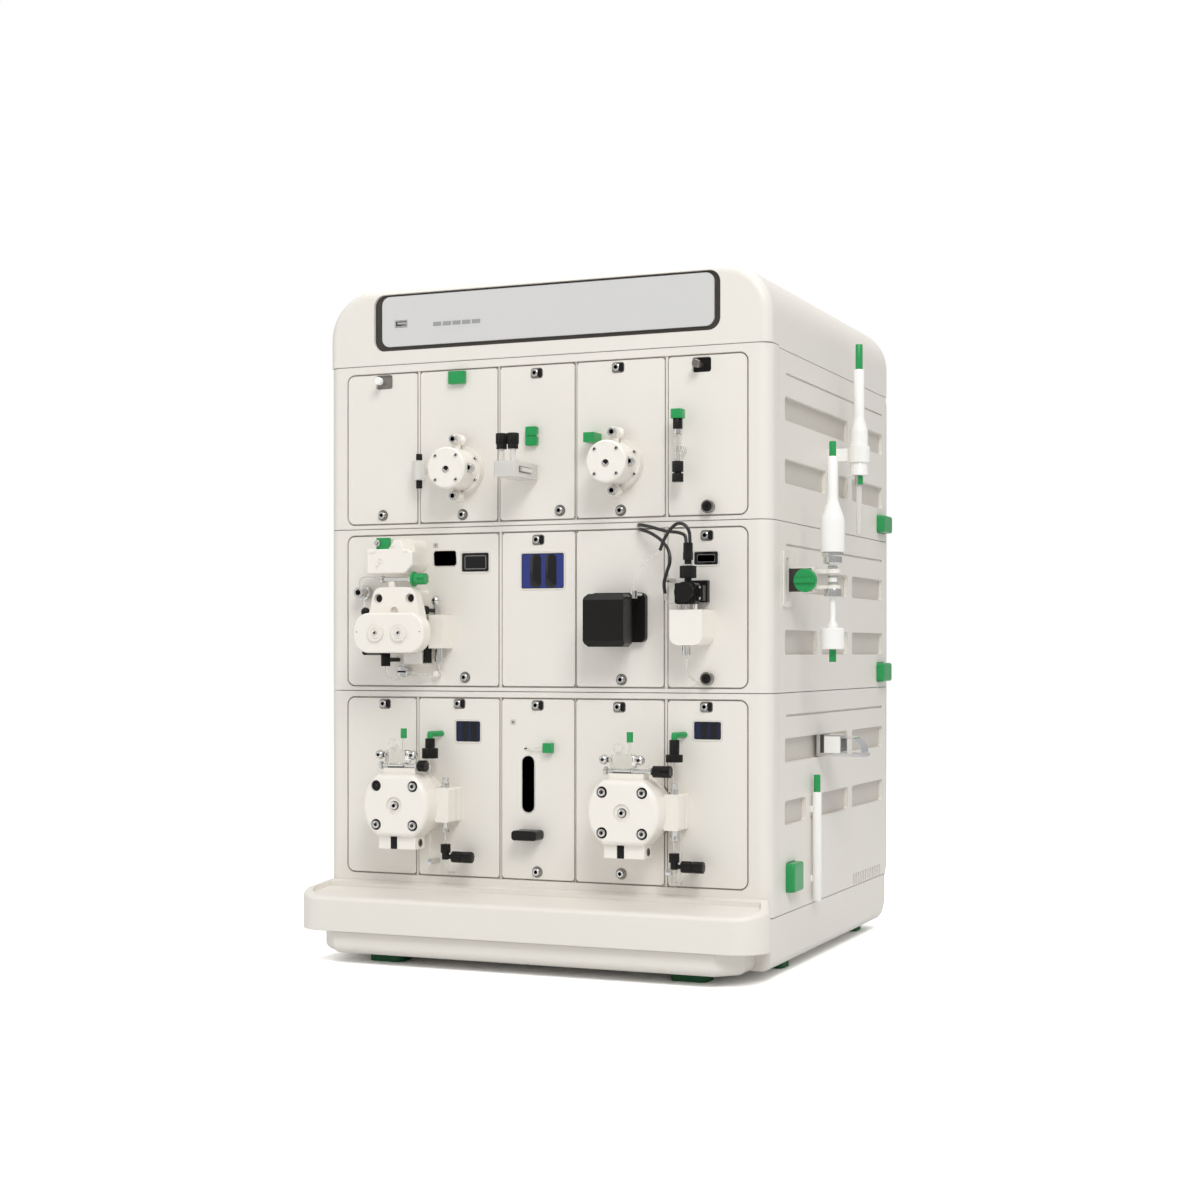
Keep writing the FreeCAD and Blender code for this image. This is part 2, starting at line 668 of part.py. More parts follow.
def tier_housing(bottom, top, extra_rib):
    """A tier of the chassis behind its bezel: open at the front and the rear, with windows in its sides."""
    back = REAR_Y - REAR_PLATE
    begin = FRONT_Y + BEZEL_DEPTH
    upper = top - SEAM
    shell = box(-SIDE_X, SIDE_X, begin, back, bottom, upper)
    inner = box(-SIDE_X + SIDE_WALL, SIDE_X - SIDE_WALL, begin, back, bottom + DECK_WALL, upper - DECK_WALL)
    shell = shell.cut(inner)
    cuts = []
    floor = SIDE_X - WINDOW_DEPTH
    for y0, y1 in span(WINDOW_FRONT, WINDOW_REAR, RIB_FRONT, RIB_REAR):
        cuts.append(round_block(floor, SIDE_X + 1, y0, y1, top - ROW_ONE[1], top - ROW_ONE[0], WINDOW_RADIUS, "x"))
    stops = (WINDOW_FRONT, extra_rib[0], extra_rib[1], RIB_FRONT, RIB_REAR, WINDOW_REAR)
    for y0, y1 in zip(stops[0::2], stops[1::2]):
        cuts.append(round_block(floor, SIDE_X + 1, y0, y1, top - ROW_TWO[1], top - ROW_TWO[0], WINDOW_RADIUS, "x"))
    groove_bottom = top - GROOVE_DROP
    cuts.append(box(SIDE_X - GROOVE_HEIGHT, SIDE_X + 1, GROOVE_FRONT, GROOVE_REAR, groove_bottom,
                    groove_bottom + GROOVE_HEIGHT))
    for cutter in cuts:
        shell = shell.cut(cutter)
        shell = shell.cut(mirrored(cutter))
    return shell


def side_vent(shell):
    """The row of slots low at the rear of both sides of the lower tier."""
    pitch = (VENT_REAR - VENT_FRONT) / VENT_SLATS
    for index in range(VENT_SLATS):
        y0 = VENT_FRONT + index * pitch
        slot = box(SIDE_X - WINDOW_DEPTH, SIDE_X + 1, y0, y0 + pitch / 2, VENT_BOTTOM, VENT_TOP)
        shell = shell.cut(slot).cut(mirrored(slot))
    return shell


def latch_seats(shell, places):
    """Pockets in the right wall that the release latches press into."""
    for y0, y1, z0, z1 in places:
        pocket = round_block(SIDE_X - LATCH_SHANK - LATCH_TRAVEL, SIDE_X + 1, y0 - LATCH_GAP, y1 + LATCH_GAP,
                             z0 - LATCH_GAP, z1 + LATCH_GAP, LATCH_RADIUS + LATCH_GAP, "x")
        shell = shell.cut(pocket)
    return shell


def latch(y0, y1, z0, z1):
    """A green push latch; its crown stands proud of the wall."""
    block = round_block(SIDE_X - LATCH_SHANK, SIDE_X + LATCH_PROUD, y0, y1, z0, z1, LATCH_RADIUS, "x")
    crown = edges_where(block, lambda edge: abs(edge.BoundBox.XMin - SIDE_X - LATCH_PROUD) < 1e-3)
    return block.makeFillet(LATCH_CROWN, crown)


def tier_bezel(bottom, top, bays, bay_bottom, bay_top):
    """The moulded front frame of a tier: a ledge for the module panels and a mullion between neighbours."""
    frame = box(-SIDE_X, SIDE_X, FRONT_Y, FRONT_Y + BEZEL_DEPTH, bottom, top - SEAM)
    corners = edges_where(frame, lambda edge: runs_along(edge, "z") and edge.BoundBox.YMax < FRONT_Y + 1)
    frame = frame.makeFillet(BEZEL_RADIUS, corners)
    seat = FRONT_Y + PANEL_THICKNESS
    opening = round_block(-BAY_HALF_WIDTH, BAY_HALF_WIDTH, FRONT_Y - 1, seat, bay_bottom, bay_top, BAY_RADIUS)
    half = BAY_HALF_WIDTH - PANEL_LEDGE
    throat = round_block(-half, half, seat, FRONT_Y + BEZEL_DEPTH, bay_bottom + PANEL_LEDGE,
                         bay_top - PANEL_LEDGE, BAY_RADIUS - PANEL_LEDGE)
    frame = frame.cut(opening).cut(throat)
    mullions = []
    for (_, left), (right, _) in zip(bays, bays[1:]):
        mullions.append(box(left + MULLION_GAP, right - MULLION_GAP, FRONT_Y + MULLION_SINK, seat + 1,
                            bay_bottom - 1, bay_top + 1))
        mullions.append(box(left - PANEL_LEDGE / 2, right + PANEL_LEDGE / 2, seat, FRONT_Y + BEZEL_DEPTH,
                            bay_bottom + PANEL_LEDGE - 1, bay_top - PANEL_LEDGE + 1))
    return fused([frame] + mullions)


def module_panels(bays, bay_bottom, bay_top):
    """The front plates of one tier's modules, rounder at the corners of the row."""
    panels = []
    for x0, x1 in bays:
        plate = box(x0, x1, FRONT_Y, FRONT_Y + PANEL_THICKNESS, bay_bottom + BAY_MARGIN, bay_top - BAY_MARGIN)
        outer = edges_where(plate, lambda edge: runs_along(edge, "y") and abs(edge.BoundBox.XMin) > OUTER_PANEL_X)
        if outer:
            plate = plate.makeFillet(BAY_RADIUS - BAY_MARGIN, outer)
        inner = edges_where(plate, lambda edge: runs_along(edge, "y") and abs(edge.BoundBox.XMin) < OUTER_PANEL_X)
        panels.append(plate.makeFillet(PANEL_RADIUS, inner))
    return panels


def latch_pocket(x, z):
    """The shallow pocket round a captive knob at the top of a module."""
    return round_block(x - POCKET_LEFT, x + POCKET_RIGHT, FRONT_Y - 1, FRONT_Y + POCKET_DEPTH, z - POCKET_HALF,
                       z + POCKET_HALF, POCKET_RADIUS)


def window_insert(place):
    """A dark insert that lies just below the face of its panel."""
    x0, x1, z0, z1 = place
    depth = FRONT_Y + WINDOW_DEPTH_IN_PANEL
    return round_block(x0, x1, FRONT_Y + WINDOW_SINK, depth, z0, z1, WINDOW_CORNER)


def window_pocket(place):
    x0, x1, z0, z1 = place
    return round_block(x0, x1, FRONT_Y - 1, FRONT_Y + WINDOW_DEPTH_IN_PANEL, z0, z1, WINDOW_CORNER)


def carved(panels, cutters):
    """Every panel with all the cutters taken out of it."""
    result = []
    for panel in panels:
        for cutter in cutters:
            if panel.BoundBox.intersect(cutter.BoundBox):
                panel = panel.cut(cutter)
        result.append(panel)
    return result


def base_pan():
    """The pan under the chassis, with the tapered nose that reaches out below the tray."""
    pan = box(-SIDE_X, SIDE_X, FRONT_Y, REAR_Y, -BASE_HEIGHT, -SEAM)
    heel = edges_where(pan, lambda edge: runs_along(edge, "x") and edge.BoundBox.YMin > REAR_Y - 1
                       and edge.BoundBox.ZMax < -SEAM - 1)
    pan = pan.makeFillet(BASE_REAR_RADIUS, heel)
    keel = edges_where(pan, lambda edge: runs_along(edge, "y") and edge.BoundBox.ZMax < -SEAM - 1)
    pan = pan.makeFillet(BASE_EDGE, keel)
    tip = FRONT_Y - TRAY_REACH + NOSE_SETBACK
    level = TRAY_BOTTOM - NOSE_GAP
    outline = [(-NOSE_HALF_WIDTH, FRONT_Y), (-NOSE_HALF_WIDTH, tip + NOSE_TAPER),
               (-NOSE_HALF_WIDTH + NOSE_TAPER, tip), (NOSE_HALF_WIDTH - NOSE_TAPER, tip),
               (NOSE_HALF_WIDTH, tip + NOSE_TAPER), (NOSE_HALF_WIDTH, FRONT_Y)]
    corners = [vec(x, y, -BASE_HEIGHT) for x, y in outline]
    corners.append(corners[0])
    nose = Part.Face(Part.makePolygon(corners)).extrude(vec(0, 0, BASE_HEIGHT + level))
    lip = edges_where(nose, lambda edge: abs(edge.BoundBox.ZMax + BASE_HEIGHT) < 0.01
                      and edge.BoundBox.YMin < FRONT_Y - 1)
    nose = nose.makeFillet(BASE_EDGE, lip)
    return fused([pan, nose])


def tray_outline(inset):
    """The plan of the tray as a closed wire, drawn in by the inset."""
    half = TRAY_HALF_WIDTH - inset
    back = FRONT_Y
    tip = FRONT_Y - TRAY_REACH + inset
    flare = FRONT_Y - TRAY_FLARE
    radius = TRAY_CORNER - inset
    lean = radius * (1 - math.sqrt(0.5))
    root = SIDE_X - inset
    edges = [
        Part.LineSegment(vec(-root, back, 0), vec(-half, flare, 0)),
        Part.Arc(vec(-half, tip + radius, 0), vec(-half + lean, tip + lean, 0), vec(-half + radius, tip, 0)),
        Part.LineSegment(vec(-half + radius, tip, 0), vec(half - radius, tip, 0)),
        Part.Arc(vec(half - radius, tip, 0), vec(half - lean, tip + lean, 0), vec(half, tip + radius, 0)),
        Part.LineSegment(vec(half, flare, 0), vec(root, back, 0)),
        Part.LineSegment(vec(root, back, 0), vec(-root, back, 0)),
    ]
    if abs(flare - tip - radius) > 1e-6:
        edges.insert(1, Part.LineSegment(vec(-half, flare, 0), vec(-half, tip + radius, 0)))
        edges.insert(5, Part.LineSegment(vec(half, tip + radius, 0), vec(half, flare, 0)))
    return Part.Wire([edge.toShape() for edge in edges])


def slope_above(drop):
    """All that lies above the sloping top of the tray, this far below it."""
    tip = FRONT_Y - TRAY_REACH
    far = TRAY_HALF_WIDTH + 10
    sky = 2 * TRAY_TOP_BACK - TRAY_BOTTOM
    slope = (TRAY_TOP_BACK - TRAY_TOP_FRONT) / TRAY_REACH
    profile = [vec(-far, FRONT_Y, TRAY_TOP_BACK - drop), vec(-far, tip - 10, TRAY_TOP_FRONT - drop - 10 * slope),
               vec(-far, tip - 10, sky), vec(-far, FRONT_Y, sky)]
    profile.append(profile[0])
    return Part.Face(Part.makePolygon(profile)).extrude(vec(2 * far, 0, 0))


def drip_tray():
    """The apron in front of the lower tier, with a shallow sloping basin in its top."""
    plan = Part.Face(tray_outline(0))
    plan.translate(vec(0, 0, TRAY_BOTTOM))
    body = plan.extrude(vec(0, 0, TRAY_TOP_BACK - TRAY_BOTTOM)).cut(slope_above(0))
    basin = Part.Face(tray_outline(TRAY_RIM))
    basin.translate(vec(0, 0, TRAY_BOTTOM))
    basin = basin.extrude(vec(0, 0, TRAY_TOP_BACK - TRAY_BOTTOM + 20))
    basin = basin.common(slope_above(TRAY_BASIN_DEPTH))
    basin = basin.common(box(-TRAY_HALF_WIDTH, TRAY_HALF_WIDTH, FRONT_Y - TRAY_REACH, FRONT_Y - TRAY_RIM, TRAY_BOTTOM,
                             2 * TRAY_TOP_BACK - TRAY_BOTTOM))
    brim = edges_where(body, lambda edge: edge.BoundBox.ZMin > TRAY_BOTTOM + 1 and edge.BoundBox.YMin < FRONT_Y - 1
                       and edge.BoundBox.ZMax - edge.BoundBox.ZMin < TRAY_TOP_BACK)
    body = body.makeFillet(TRAY_BRIM, brim)
    return body.cut(basin)


def feet():
    """Six soft pads under the base."""
    pads = []
    for x, y in FOOT_PLACES:
        for side in (-1, 1):
            pads.append(round_block(side * x - FOOT_LENGTH / 2, side * x + FOOT_LENGTH / 2, y - FOOT_WIDTH / 2,
                                    y + FOOT_WIDTH / 2, -BASE_HEIGHT - FOOT_HEIGHT, -BASE_HEIGHT, FOOT_RADIUS, "z"))
    return pads


def head_cover():
    """The rounded cover over the upper tier, recessed in front for the display."""
    block = box(-SIDE_X, SIDE_X, FRONT_Y, REAR_Y, UPPER_TOP, HEAD_TOP)
    shoulders = edges_where(block, lambda edge: runs_along(edge, "y") and edge.BoundBox.ZMin > HEAD_TOP - 1)
    block = block.makeFillet(HEAD_RADIUS, shoulders)
    brow = edges_where(block, lambda edge: abs(edge.BoundBox.YMax - FRONT_Y) < 1e-3
                       and edge.BoundBox.ZMax > UPPER_TOP + 1)
    block = block.makeFillet(HEAD_FRONT_FILLET, brow)
    step = box(-SIDE_X - 1, SIDE_X + 1, FRONT_Y - 1, FRONT_Y + BEZEL_DEPTH, UPPER_TOP - 1, UPPER_TOP + HEAD_SEAM_RISE)
    recess = round_block(DISPLAY_LEFT, DISPLAY_RIGHT, FRONT_Y - 1, FRONT_Y + DISPLAY_RECESS, DISPLAY_BOTTOM,
                         DISPLAY_TOP, DISPLAY_RADIUS)
    return block.cut(step).cut(recess).cut(usb_body(FIT_GAP))


def usb_body(margin):
    return box(USB_X - USB_WIDTH / 2 - margin, USB_X + USB_WIDTH / 2 + margin, FRONT_Y, FRONT_Y + USB_DEPTH,
               USB_Z - USB_HEIGHT / 2 - margin, USB_Z + USB_HEIGHT / 2 + margin)


def display_surround():
    back = FRONT_Y + DISPLAY_RECESS
    plate = round_block(DISPLAY_LEFT, DISPLAY_RIGHT, back - SURROUND_THICKNESS, back, DISPLAY_BOTTOM, DISPLAY_TOP,
                        DISPLAY_RADIUS)
    return plate.cut(usb_body(FIT_GAP))


def display_strip():
    back = FRONT_Y + DISPLAY_RECESS - SURROUND_THICKNESS
    plate = round_block(STRIP_LEFT, STRIP_RIGHT, back - STRIP_THICKNESS, back, STRIP_BOTTOM, STRIP_TOP, STRIP_RADIUS)
    return plate.cut(usb_body(FIT_GAP))


def status_lights():
    face = FRONT_Y + DISPLAY_RECESS - SURROUND_THICKNESS - STRIP_THICKNESS
    lights = []
    for index in range(LIGHT_COUNT):
        x = LIGHT_FIRST_X + index * LIGHT_PITCH
        lights.append(box(x - LIGHT_WIDTH / 2, x + LIGHT_WIDTH / 2, face - LIGHT_RISE, face,
                          LIGHT_Z - LIGHT_HEIGHT / 2, LIGHT_Z + LIGHT_HEIGHT / 2))
    return lights


def usb_port():
    """A socket shell with its tongue, flush with the display strip."""
    face = FRONT_Y + DISPLAY_RECESS - SURROUND_THICKNESS - STRIP_THICKNESS
    shell = usb_body(0).common(box(-SIDE_X, SIDE_X, face, REAR_Y, 0, HEAD_TOP))
    mouth = box(USB_X - USB_WIDTH / 2 + USB_SHELL, USB_X + USB_WIDTH / 2 - USB_SHELL, face, FRONT_Y + USB_DEPTH - 2,
                USB_Z - USB_HEIGHT / 2 + USB_SHELL, USB_Z + USB_HEIGHT / 2 - USB_SHELL)
    tongue = box(USB_X - USB_WIDTH / 2 + 2 * USB_SHELL, USB_X + USB_WIDTH / 2 - 2 * USB_SHELL, face + 1,
                 FRONT_Y + USB_DEPTH - 2, USB_Z, USB_Z + 2 * USB_SHELL)
    return fused([shell.cut(mouth), tongue])


def rear_panel():
    """The back plate, open for the mains inlet, the switch, the data sockets and the fan."""
    plate = round_block(-SIDE_X, SIDE_X, REAR_Y - REAR_PLATE, REAR_Y, 0, UPPER_TOP - SEAM, BAY_RADIUS)
    plate = plate.cut(box(INLET_X - INLET_MOUTH_WIDTH / 2 - INLET_LIP, INLET_X + INLET_MOUTH_WIDTH / 2 + INLET_LIP,
                          0, REAR_Y + 1, INLET_Z - INLET_MOUTH_HEIGHT / 2 - INLET_LIP,
                          INLET_Z + INLET_MOUTH_HEIGHT / 2 + INLET_LIP))
    plate = plate.cut(box(SWITCH_X - SWITCH_WIDTH / 2 - SWITCH_GAP, SWITCH_X + SWITCH_WIDTH / 2 + SWITCH_GAP, 0,
                          REAR_Y + 1, INLET_Z - SWITCH_HEIGHT / 2 - SWITCH_GAP,
                          INLET_Z + SWITCH_HEIGHT / 2 + SWITCH_GAP))
    for index in range(DATA_COUNT):
        x = DATA_X - index * DATA_PITCH
        plate = plate.cut(box(x - DATA_WIDTH / 2, x + DATA_WIDTH / 2, 0, REAR_Y + 1, DATA_Z - DATA_HEIGHT / 2,
                              DATA_Z + DATA_HEIGHT / 2))
    return plate.cut(rod_y(FAN_X, FAN_Z, FAN_RADIUS, 0, REAR_Y + 1))


def power_inlet():
    """A three-pin mains inlet: flange, body and shrouded pins."""
    flange = round_block(INLET_X - INLET_WIDTH / 2, INLET_X + INLET_WIDTH / 2, REAR_Y, REAR_Y + INLET_PROUD,
                         INLET_Z - INLET_HEIGHT / 2, INLET_Z + INLET_HEIGHT / 2, 3.0)
    half_width = INLET_MOUTH_WIDTH / 2 + INLET_LIP
    half_height = INLET_MOUTH_HEIGHT / 2 + INLET_LIP
    body = box(INLET_X - half_width, INLET_X + half_width, REAR_Y - INLET_DEPTH, REAR_Y + 1, INLET_Z - half_height,
               INLET_Z + half_height)
    mouth = box(INLET_X - INLET_MOUTH_WIDTH / 2, INLET_X + INLET_MOUTH_WIDTH / 2,
                REAR_Y + INLET_PROUD - INLET_MOUTH_DEPTH, REAR_Y + INLET_PROUD + 1, INLET_Z - INLET_MOUTH_HEIGHT / 2,
                INLET_Z + INLET_MOUTH_HEIGHT / 2)
    pieces = [flange.fuse(body).cut(mouth)]
    for x, z in INLET_PINS:
        pieces.append(box(INLET_X + x - 1, INLET_X + x + 1, REAR_Y - INLET_MOUTH_DEPTH, REAR_Y - INLET_PIN_SINK,
                          INLET_Z + z - 2, INLET_Z + z + 2))
    return fused(pieces)


def power_switch():
    """A rocker that tips about pins along z, stored with one side pressed in."""
    half = SWITCH_WIDTH / 2
    pivot = REAR_Y - REAR_PLATE / 2
    outline = [(-half, -SWITCH_DEPTH), (half, -SWITCH_DEPTH), (half, SWITCH_PROUD), (0, -SWITCH_DISH),
               (-half, SWITCH_PROUD)]
    corners = [vec(SWITCH_X + x, REAR_Y + y, INLET_Z - SWITCH_HEIGHT / 2) for x, y in outline]
    corners.append(corners[0])
    rocker = Part.Face(Part.makePolygon(corners)).extrude(vec(0, 0, SWITCH_HEIGHT))
    reach = SWITCH_HEIGHT / 2 + SWITCH_PIN_LENGTH
    rocker = rocker.fuse(rod_z(SWITCH_X, pivot, SWITCH_PIN_RADIUS, INLET_Z - reach, INLET_Z + reach))
    rocker.rotate(vec(SWITCH_X, pivot, 0), Z_AXIS, -SWITCH_TILT)
    return rocker


def switch_frame():
    """The thin frame round the rocker's opening."""
    half_width = SWITCH_WIDTH / 2 + SWITCH_GAP
    half_height = SWITCH_HEIGHT / 2 + SWITCH_GAP
    rim = round_block(SWITCH_X - half_width - 3, SWITCH_X + half_width + 3, REAR_Y, REAR_Y + SWITCH_RIM,
                      INLET_Z - half_height - 3, INLET_Z + half_height + 3, 2.0)
    return rim.cut(box(SWITCH_X - half_width, SWITCH_X + half_width, REAR_Y - 1, REAR_Y + SWITCH_RIM + 1,
                       INLET_Z - half_height, INLET_Z + half_height))


def data_ports():
    """A row of data sockets, each a shell with an open mouth."""
    ports = []
    for index in range(DATA_COUNT):
        x = DATA_X - index * DATA_PITCH
        shell = box(x - DATA_WIDTH / 2, x + DATA_WIDTH / 2, REAR_Y - DATA_DEPTH, REAR_Y + DATA_PROUD,
                    DATA_Z - DATA_HEIGHT / 2, DATA_Z + DATA_HEIGHT / 2)
        mouth = box(x - DATA_WIDTH / 2 + DATA_SHELL, x + DATA_WIDTH / 2 - DATA_SHELL, REAR_Y - DATA_DEPTH + DATA_SHELL,
                    REAR_Y + DATA_PROUD + 1, DATA_Z - DATA_HEIGHT / 2 + DATA_SHELL,
                    DATA_Z + DATA_HEIGHT / 2 - DATA_SHELL)
        ports.append(shell.cut(mouth))
    return ports


def fan_guard():
    """Flat rings on a cross over the fan opening, with the pin that the rotor turns on."""
    face = REAR_Y + GUARD_WIRE
    rings = []
    for index in range(GUARD_RINGS):
        radius = (FAN_RADIUS + GUARD_WIRE) * (index + 1) / GUARD_RINGS
        ring = rod_y(FAN_X, FAN_Z, radius, REAR_Y, face).cut(rod_y(FAN_X, FAN_Z, radius - GUARD_WIRE, REAR_Y, face))
        rings.append(ring)
    reach = FAN_RADIUS + GUARD_WIRE * 4
    spokes = [box(FAN_X - reach, FAN_X + reach, REAR_Y, face, FAN_Z - GUARD_WIRE, FAN_Z + GUARD_WIRE),
              box(FAN_X - GUARD_WIRE, FAN_X + GUARD_WIRE, REAR_Y, face, FAN_Z - reach, FAN_Z + reach)]
    boss = rod_y(FAN_X, FAN_Z, FAN_HUB_RADIUS / 2, REAR_Y - GUARD_BOSS, face)
    pin = rod_y(FAN_X, FAN_Z, FAN_PIN_RADIUS, REAR_Y - GUARD_BOSS - FAN_THICKNESS, REAR_Y - GUARD_BOSS)
    return fused(rings + spokes + [boss, pin])


def fan_rotor():
    """Hub and swept blades, bored for the pin."""
    back = REAR_Y - GUARD_BOSS - FAN_GAP
    begin = back - FAN_THICKNESS + FAN_GAP
    hub = rod_y(FAN_X, FAN_Z, FAN_HUB_RADIUS, begin, back)
    blades = []
    for index in range(FAN_BLADES):
        blade = box(FAN_X - 1, FAN_X + 1, begin + 1, back - 1, FAN_Z + FAN_HUB_RADIUS - 2,
                    FAN_Z + FAN_RADIUS - FAN_GAP)
        blade.rotate(vec(FAN_X, (begin + back) / 2, FAN_Z), Z_AXIS, FAN_PITCH)
        blade.rotate(vec(FAN_X, back, FAN_Z), vec(0, 1, 0), 360.0 * index / FAN_BLADES)
        blades.append(blade)
    wheel = fused([hub] + blades)
    return wheel.cut(rod_y(FAN_X, FAN_Z, FAN_PIN_RADIUS + FIT_GAP, begin - 1, back + 1))


def screw_head(x, z, radius, h0, height):
    """A cap screw whose head stands on a face that is h0 in front of the panels."""
    return rod_y(x, z, radius, front(h0), front(h0 + height))


def captive_knob(x, z, sunk=0):
    """A knob on a stem, which starts sunk mm below the panel's face."""
    stem = rod_y(x, z, KNOB_RADIUS * 0.6, front(-sunk), front(KNOB_HEIGHT))
    cap = rod_y(x, z, KNOB_RADIUS, front(KNOB_HEIGHT * 0.35), front(KNOB_HEIGHT))
    return fused([stem, cap])


def valve_ring(x):
    return rod_y(x, VALVE_Z, VALVE_RING_RADIUS, front(0), front(VALVE_RING_HEIGHT))


def valve_head(x):
    """The stator disc of a rotary valve with a port in its face, and an ear above and below for fittings."""
    disc = rod_y(x, VALVE_Z, VALVE_RADIUS, front(VALVE_RING_HEIGHT), front(VALVE_FRONT))
    disc = chamfered_front(disc, front(VALVE_FRONT), VALVE_CHAMFER)
    h0, h1 = VALVE_EAR_H
    middle = front((h0 + h1) / 2)
    for level in (VALVE_EAR_TOP, -VALVE_EAR_BOTTOM):
        disc = disc.fuse(rod_z(x, middle, VALVE_EAR_NECK, VALVE_Z, VALVE_Z + level))
        disc = disc.fuse(rod_y(x, VALVE_Z + level, VALVE_EAR_RADIUS, front(h0), front(h1)))
    disc = disc.cut(rod_y(x, VALVE_Z - VALVE_PORT_DROP, VALVE_PORT_RADIUS, front(VALVE_FRONT + 1), front(VALVE_FRONT - 2)))
    return disc.cut(valve_caps(x)[-1]).removeSplitter()


def valve_caps(x):
    """Steel caps on the two ears of a valve, and one in the side of its disc."""
    h0, h1 = VALVE_SIDE_H
    caps = [rod_y(x, VALVE_Z + level, VALVE_CAP_RADIUS, front(VALVE_EAR_H[1]), front(VALVE_CAP_FRONT))
            for level in (VALVE_EAR_TOP, -VALVE_EAR_BOTTOM)]
    caps.append(rod_y(x + VALVE_SIDE_X, VALVE_Z, VALVE_CAP_RADIUS, front(h0), front(h1)))
    return caps


def nut_arm():
    """A clear-fronted block that reaches straight out and carries two upright stems."""
    block = round_block(ARM_X[0], ARM_X[1], front(0), front(ARM_REACH), ARM_Z[0], ARM_Z[1], ARM_RADIUS, "z")
    stems = [rod_z(x, front(TWIN_H), TWIN_STEM_RADIUS, ARM_Z[1] - 1, TWIN_NUT_BOTTOM) for x in TWIN_X]
    return fused([block] + stems)


def rocker_clip():
    """A green two-part rocker that tips on the pin of its cradle."""
    block = round_block(ROCKER_X - ROCKER_WIDTH / 2, ROCKER_X + ROCKER_WIDTH / 2, front(ROCKER_GAP),
                        front(ROCKER_GAP + ROCKER_THICKNESS), ROCKER_Z - ROCKER_HEIGHT / 2,
                        ROCKER_Z + ROCKER_HEIGHT / 2, ROCKER_CROWN)
    split = box(ROCKER_X - ROCKER_WIDTH, ROCKER_X + ROCKER_WIDTH, front(ROCKER_THICKNESS),
                front(ROCKER_THICKNESS + 2), ROCKER_Z - ROCKER_SPLIT, ROCKER_Z + ROCKER_SPLIT)
    bore = rod_x(front(ROCKER_PIN_H), ROCKER_Z, ROCKER_PIN_RADIUS + FIT_GAP, ROCKER_X - ROCKER_WIDTH,
                 ROCKER_X + ROCKER_WIDTH)
    return block.cut(split).cut(bore)


def rocker_cradle():
    """Two cheeks on the panel and the pin between them."""
    y = front(ROCKER_PIN_H)
    pieces = []
    reach = ROCKER_WIDTH / 2 + FIT_GAP
    for side in (-1, 1):
        pieces.append(box(ROCKER_X + side * reach, ROCKER_X + side * (reach + ROCKER_CHEEK), front(0),
                          front(ROCKER_PIN_H + 2 * ROCKER_PIN_RADIUS), ROCKER_Z - 2 * ROCKER_PIN_RADIUS,
                          ROCKER_Z + 2 * ROCKER_PIN_RADIUS))
    pieces.append(rod_x(y, ROCKER_Z, ROCKER_PIN_RADIUS, ROCKER_X - reach - ROCKER_CHEEK / 2,
                        ROCKER_X + reach + ROCKER_CHEEK / 2))
    return fused(pieces)


def inline_cell():
    """An upright cell between two black end caps, held to the panel by a clip."""
    low, body_low, body_high, high = INLINE_LEVELS
    y = front(INLINE_H)
    profile = ((INLINE_END_RADIUS, low), (INLINE_END_RADIUS, body_low), (INLINE_RADIUS, body_low),
               (INLINE_RADIUS, body_high), (INLINE_END_RADIUS, body_high), (INLINE_END_RADIUS, high))
    middle = (body_low + body_high) / 2
    clip = box(INLINE_X - CELL_CLIP_WIDTH / 2, INLINE_X + CELL_CLIP_WIDTH / 2, front(0), y, middle - 3, middle + 3)
    return fused([turned(INLINE_X, y, profile), clip])


def glass_cell():
    """A short glass column between a black waisted nut and a green cap, held by a clip."""
    foot, waist, tube_low, steel_low, steel_high, cap_low, cap_high = GLASS_LEVELS
    y = front(GLASS_H)
    profile = ((GLASS_NUT_RADIUS, foot), (GLASS_NUT_RADIUS, waist - 3), (GLASS_WAIST_RADIUS, waist),
               (GLASS_NUT_RADIUS, waist + 3), (GLASS_NUT_RADIUS, tube_low), (GLASS_TUBE_RADIUS, tube_low),
               (GLASS_TUBE_RADIUS, steel_low), (GLASS_COLLAR_RADIUS, steel_low), (GLASS_COLLAR_RADIUS, cap_low),
               (GLASS_CAP_RADIUS, cap_low), (GLASS_CAP_RADIUS, cap_high))
    clip = box(GLASS_X - CELL_CLIP_WIDTH / 2, GLASS_X + CELL_CLIP_WIDTH / 2, front(0), y, steel_low + 1, steel_high)
    return fused([turned(GLASS_X, y, profile), clip])


def mixer_housing():
    """The peaked front plate of the mixer on its round-shouldered body."""
    outline = [(MIXER_LEFT, MIXER_BOTTOM), (MIXER_RIGHT - MIXER_CORNER, MIXER_BOTTOM),
               (MIXER_RIGHT, MIXER_BOTTOM + MIXER_CORNER), (MIXER_RIGHT, MIXER_SHOULDER - 3),
               (MIXER_PEAK_X + 7, MIXER_SHOULDER), (MIXER_PEAK_X + 3.5, MIXER_PEAK), (MIXER_PEAK_X - 3.5, MIXER_PEAK),
               (MIXER_PEAK_X - 9, MIXER_SHOULDER), (MIXER_LEFT, MIXER_SHOULDER)]
    plate = outline_solid(outline, front(MIXER_PLATE_BACK), front(MIXER_PLATE_FRONT))
    plate = chamfered_front(plate, front(MIXER_PLATE_FRONT), 1.0)
    left, right = MIXER_BODY
    body = round_block(left, right, front(0), front(MIXER_PLATE_BACK + 1), MIXER_BOTTOM + MIXER_BODY_LIFT,
                       MIXER_PEAK + MIXER_BODY_LIFT, MIXER_BODY_RADIUS)
    return fused([plate, body])


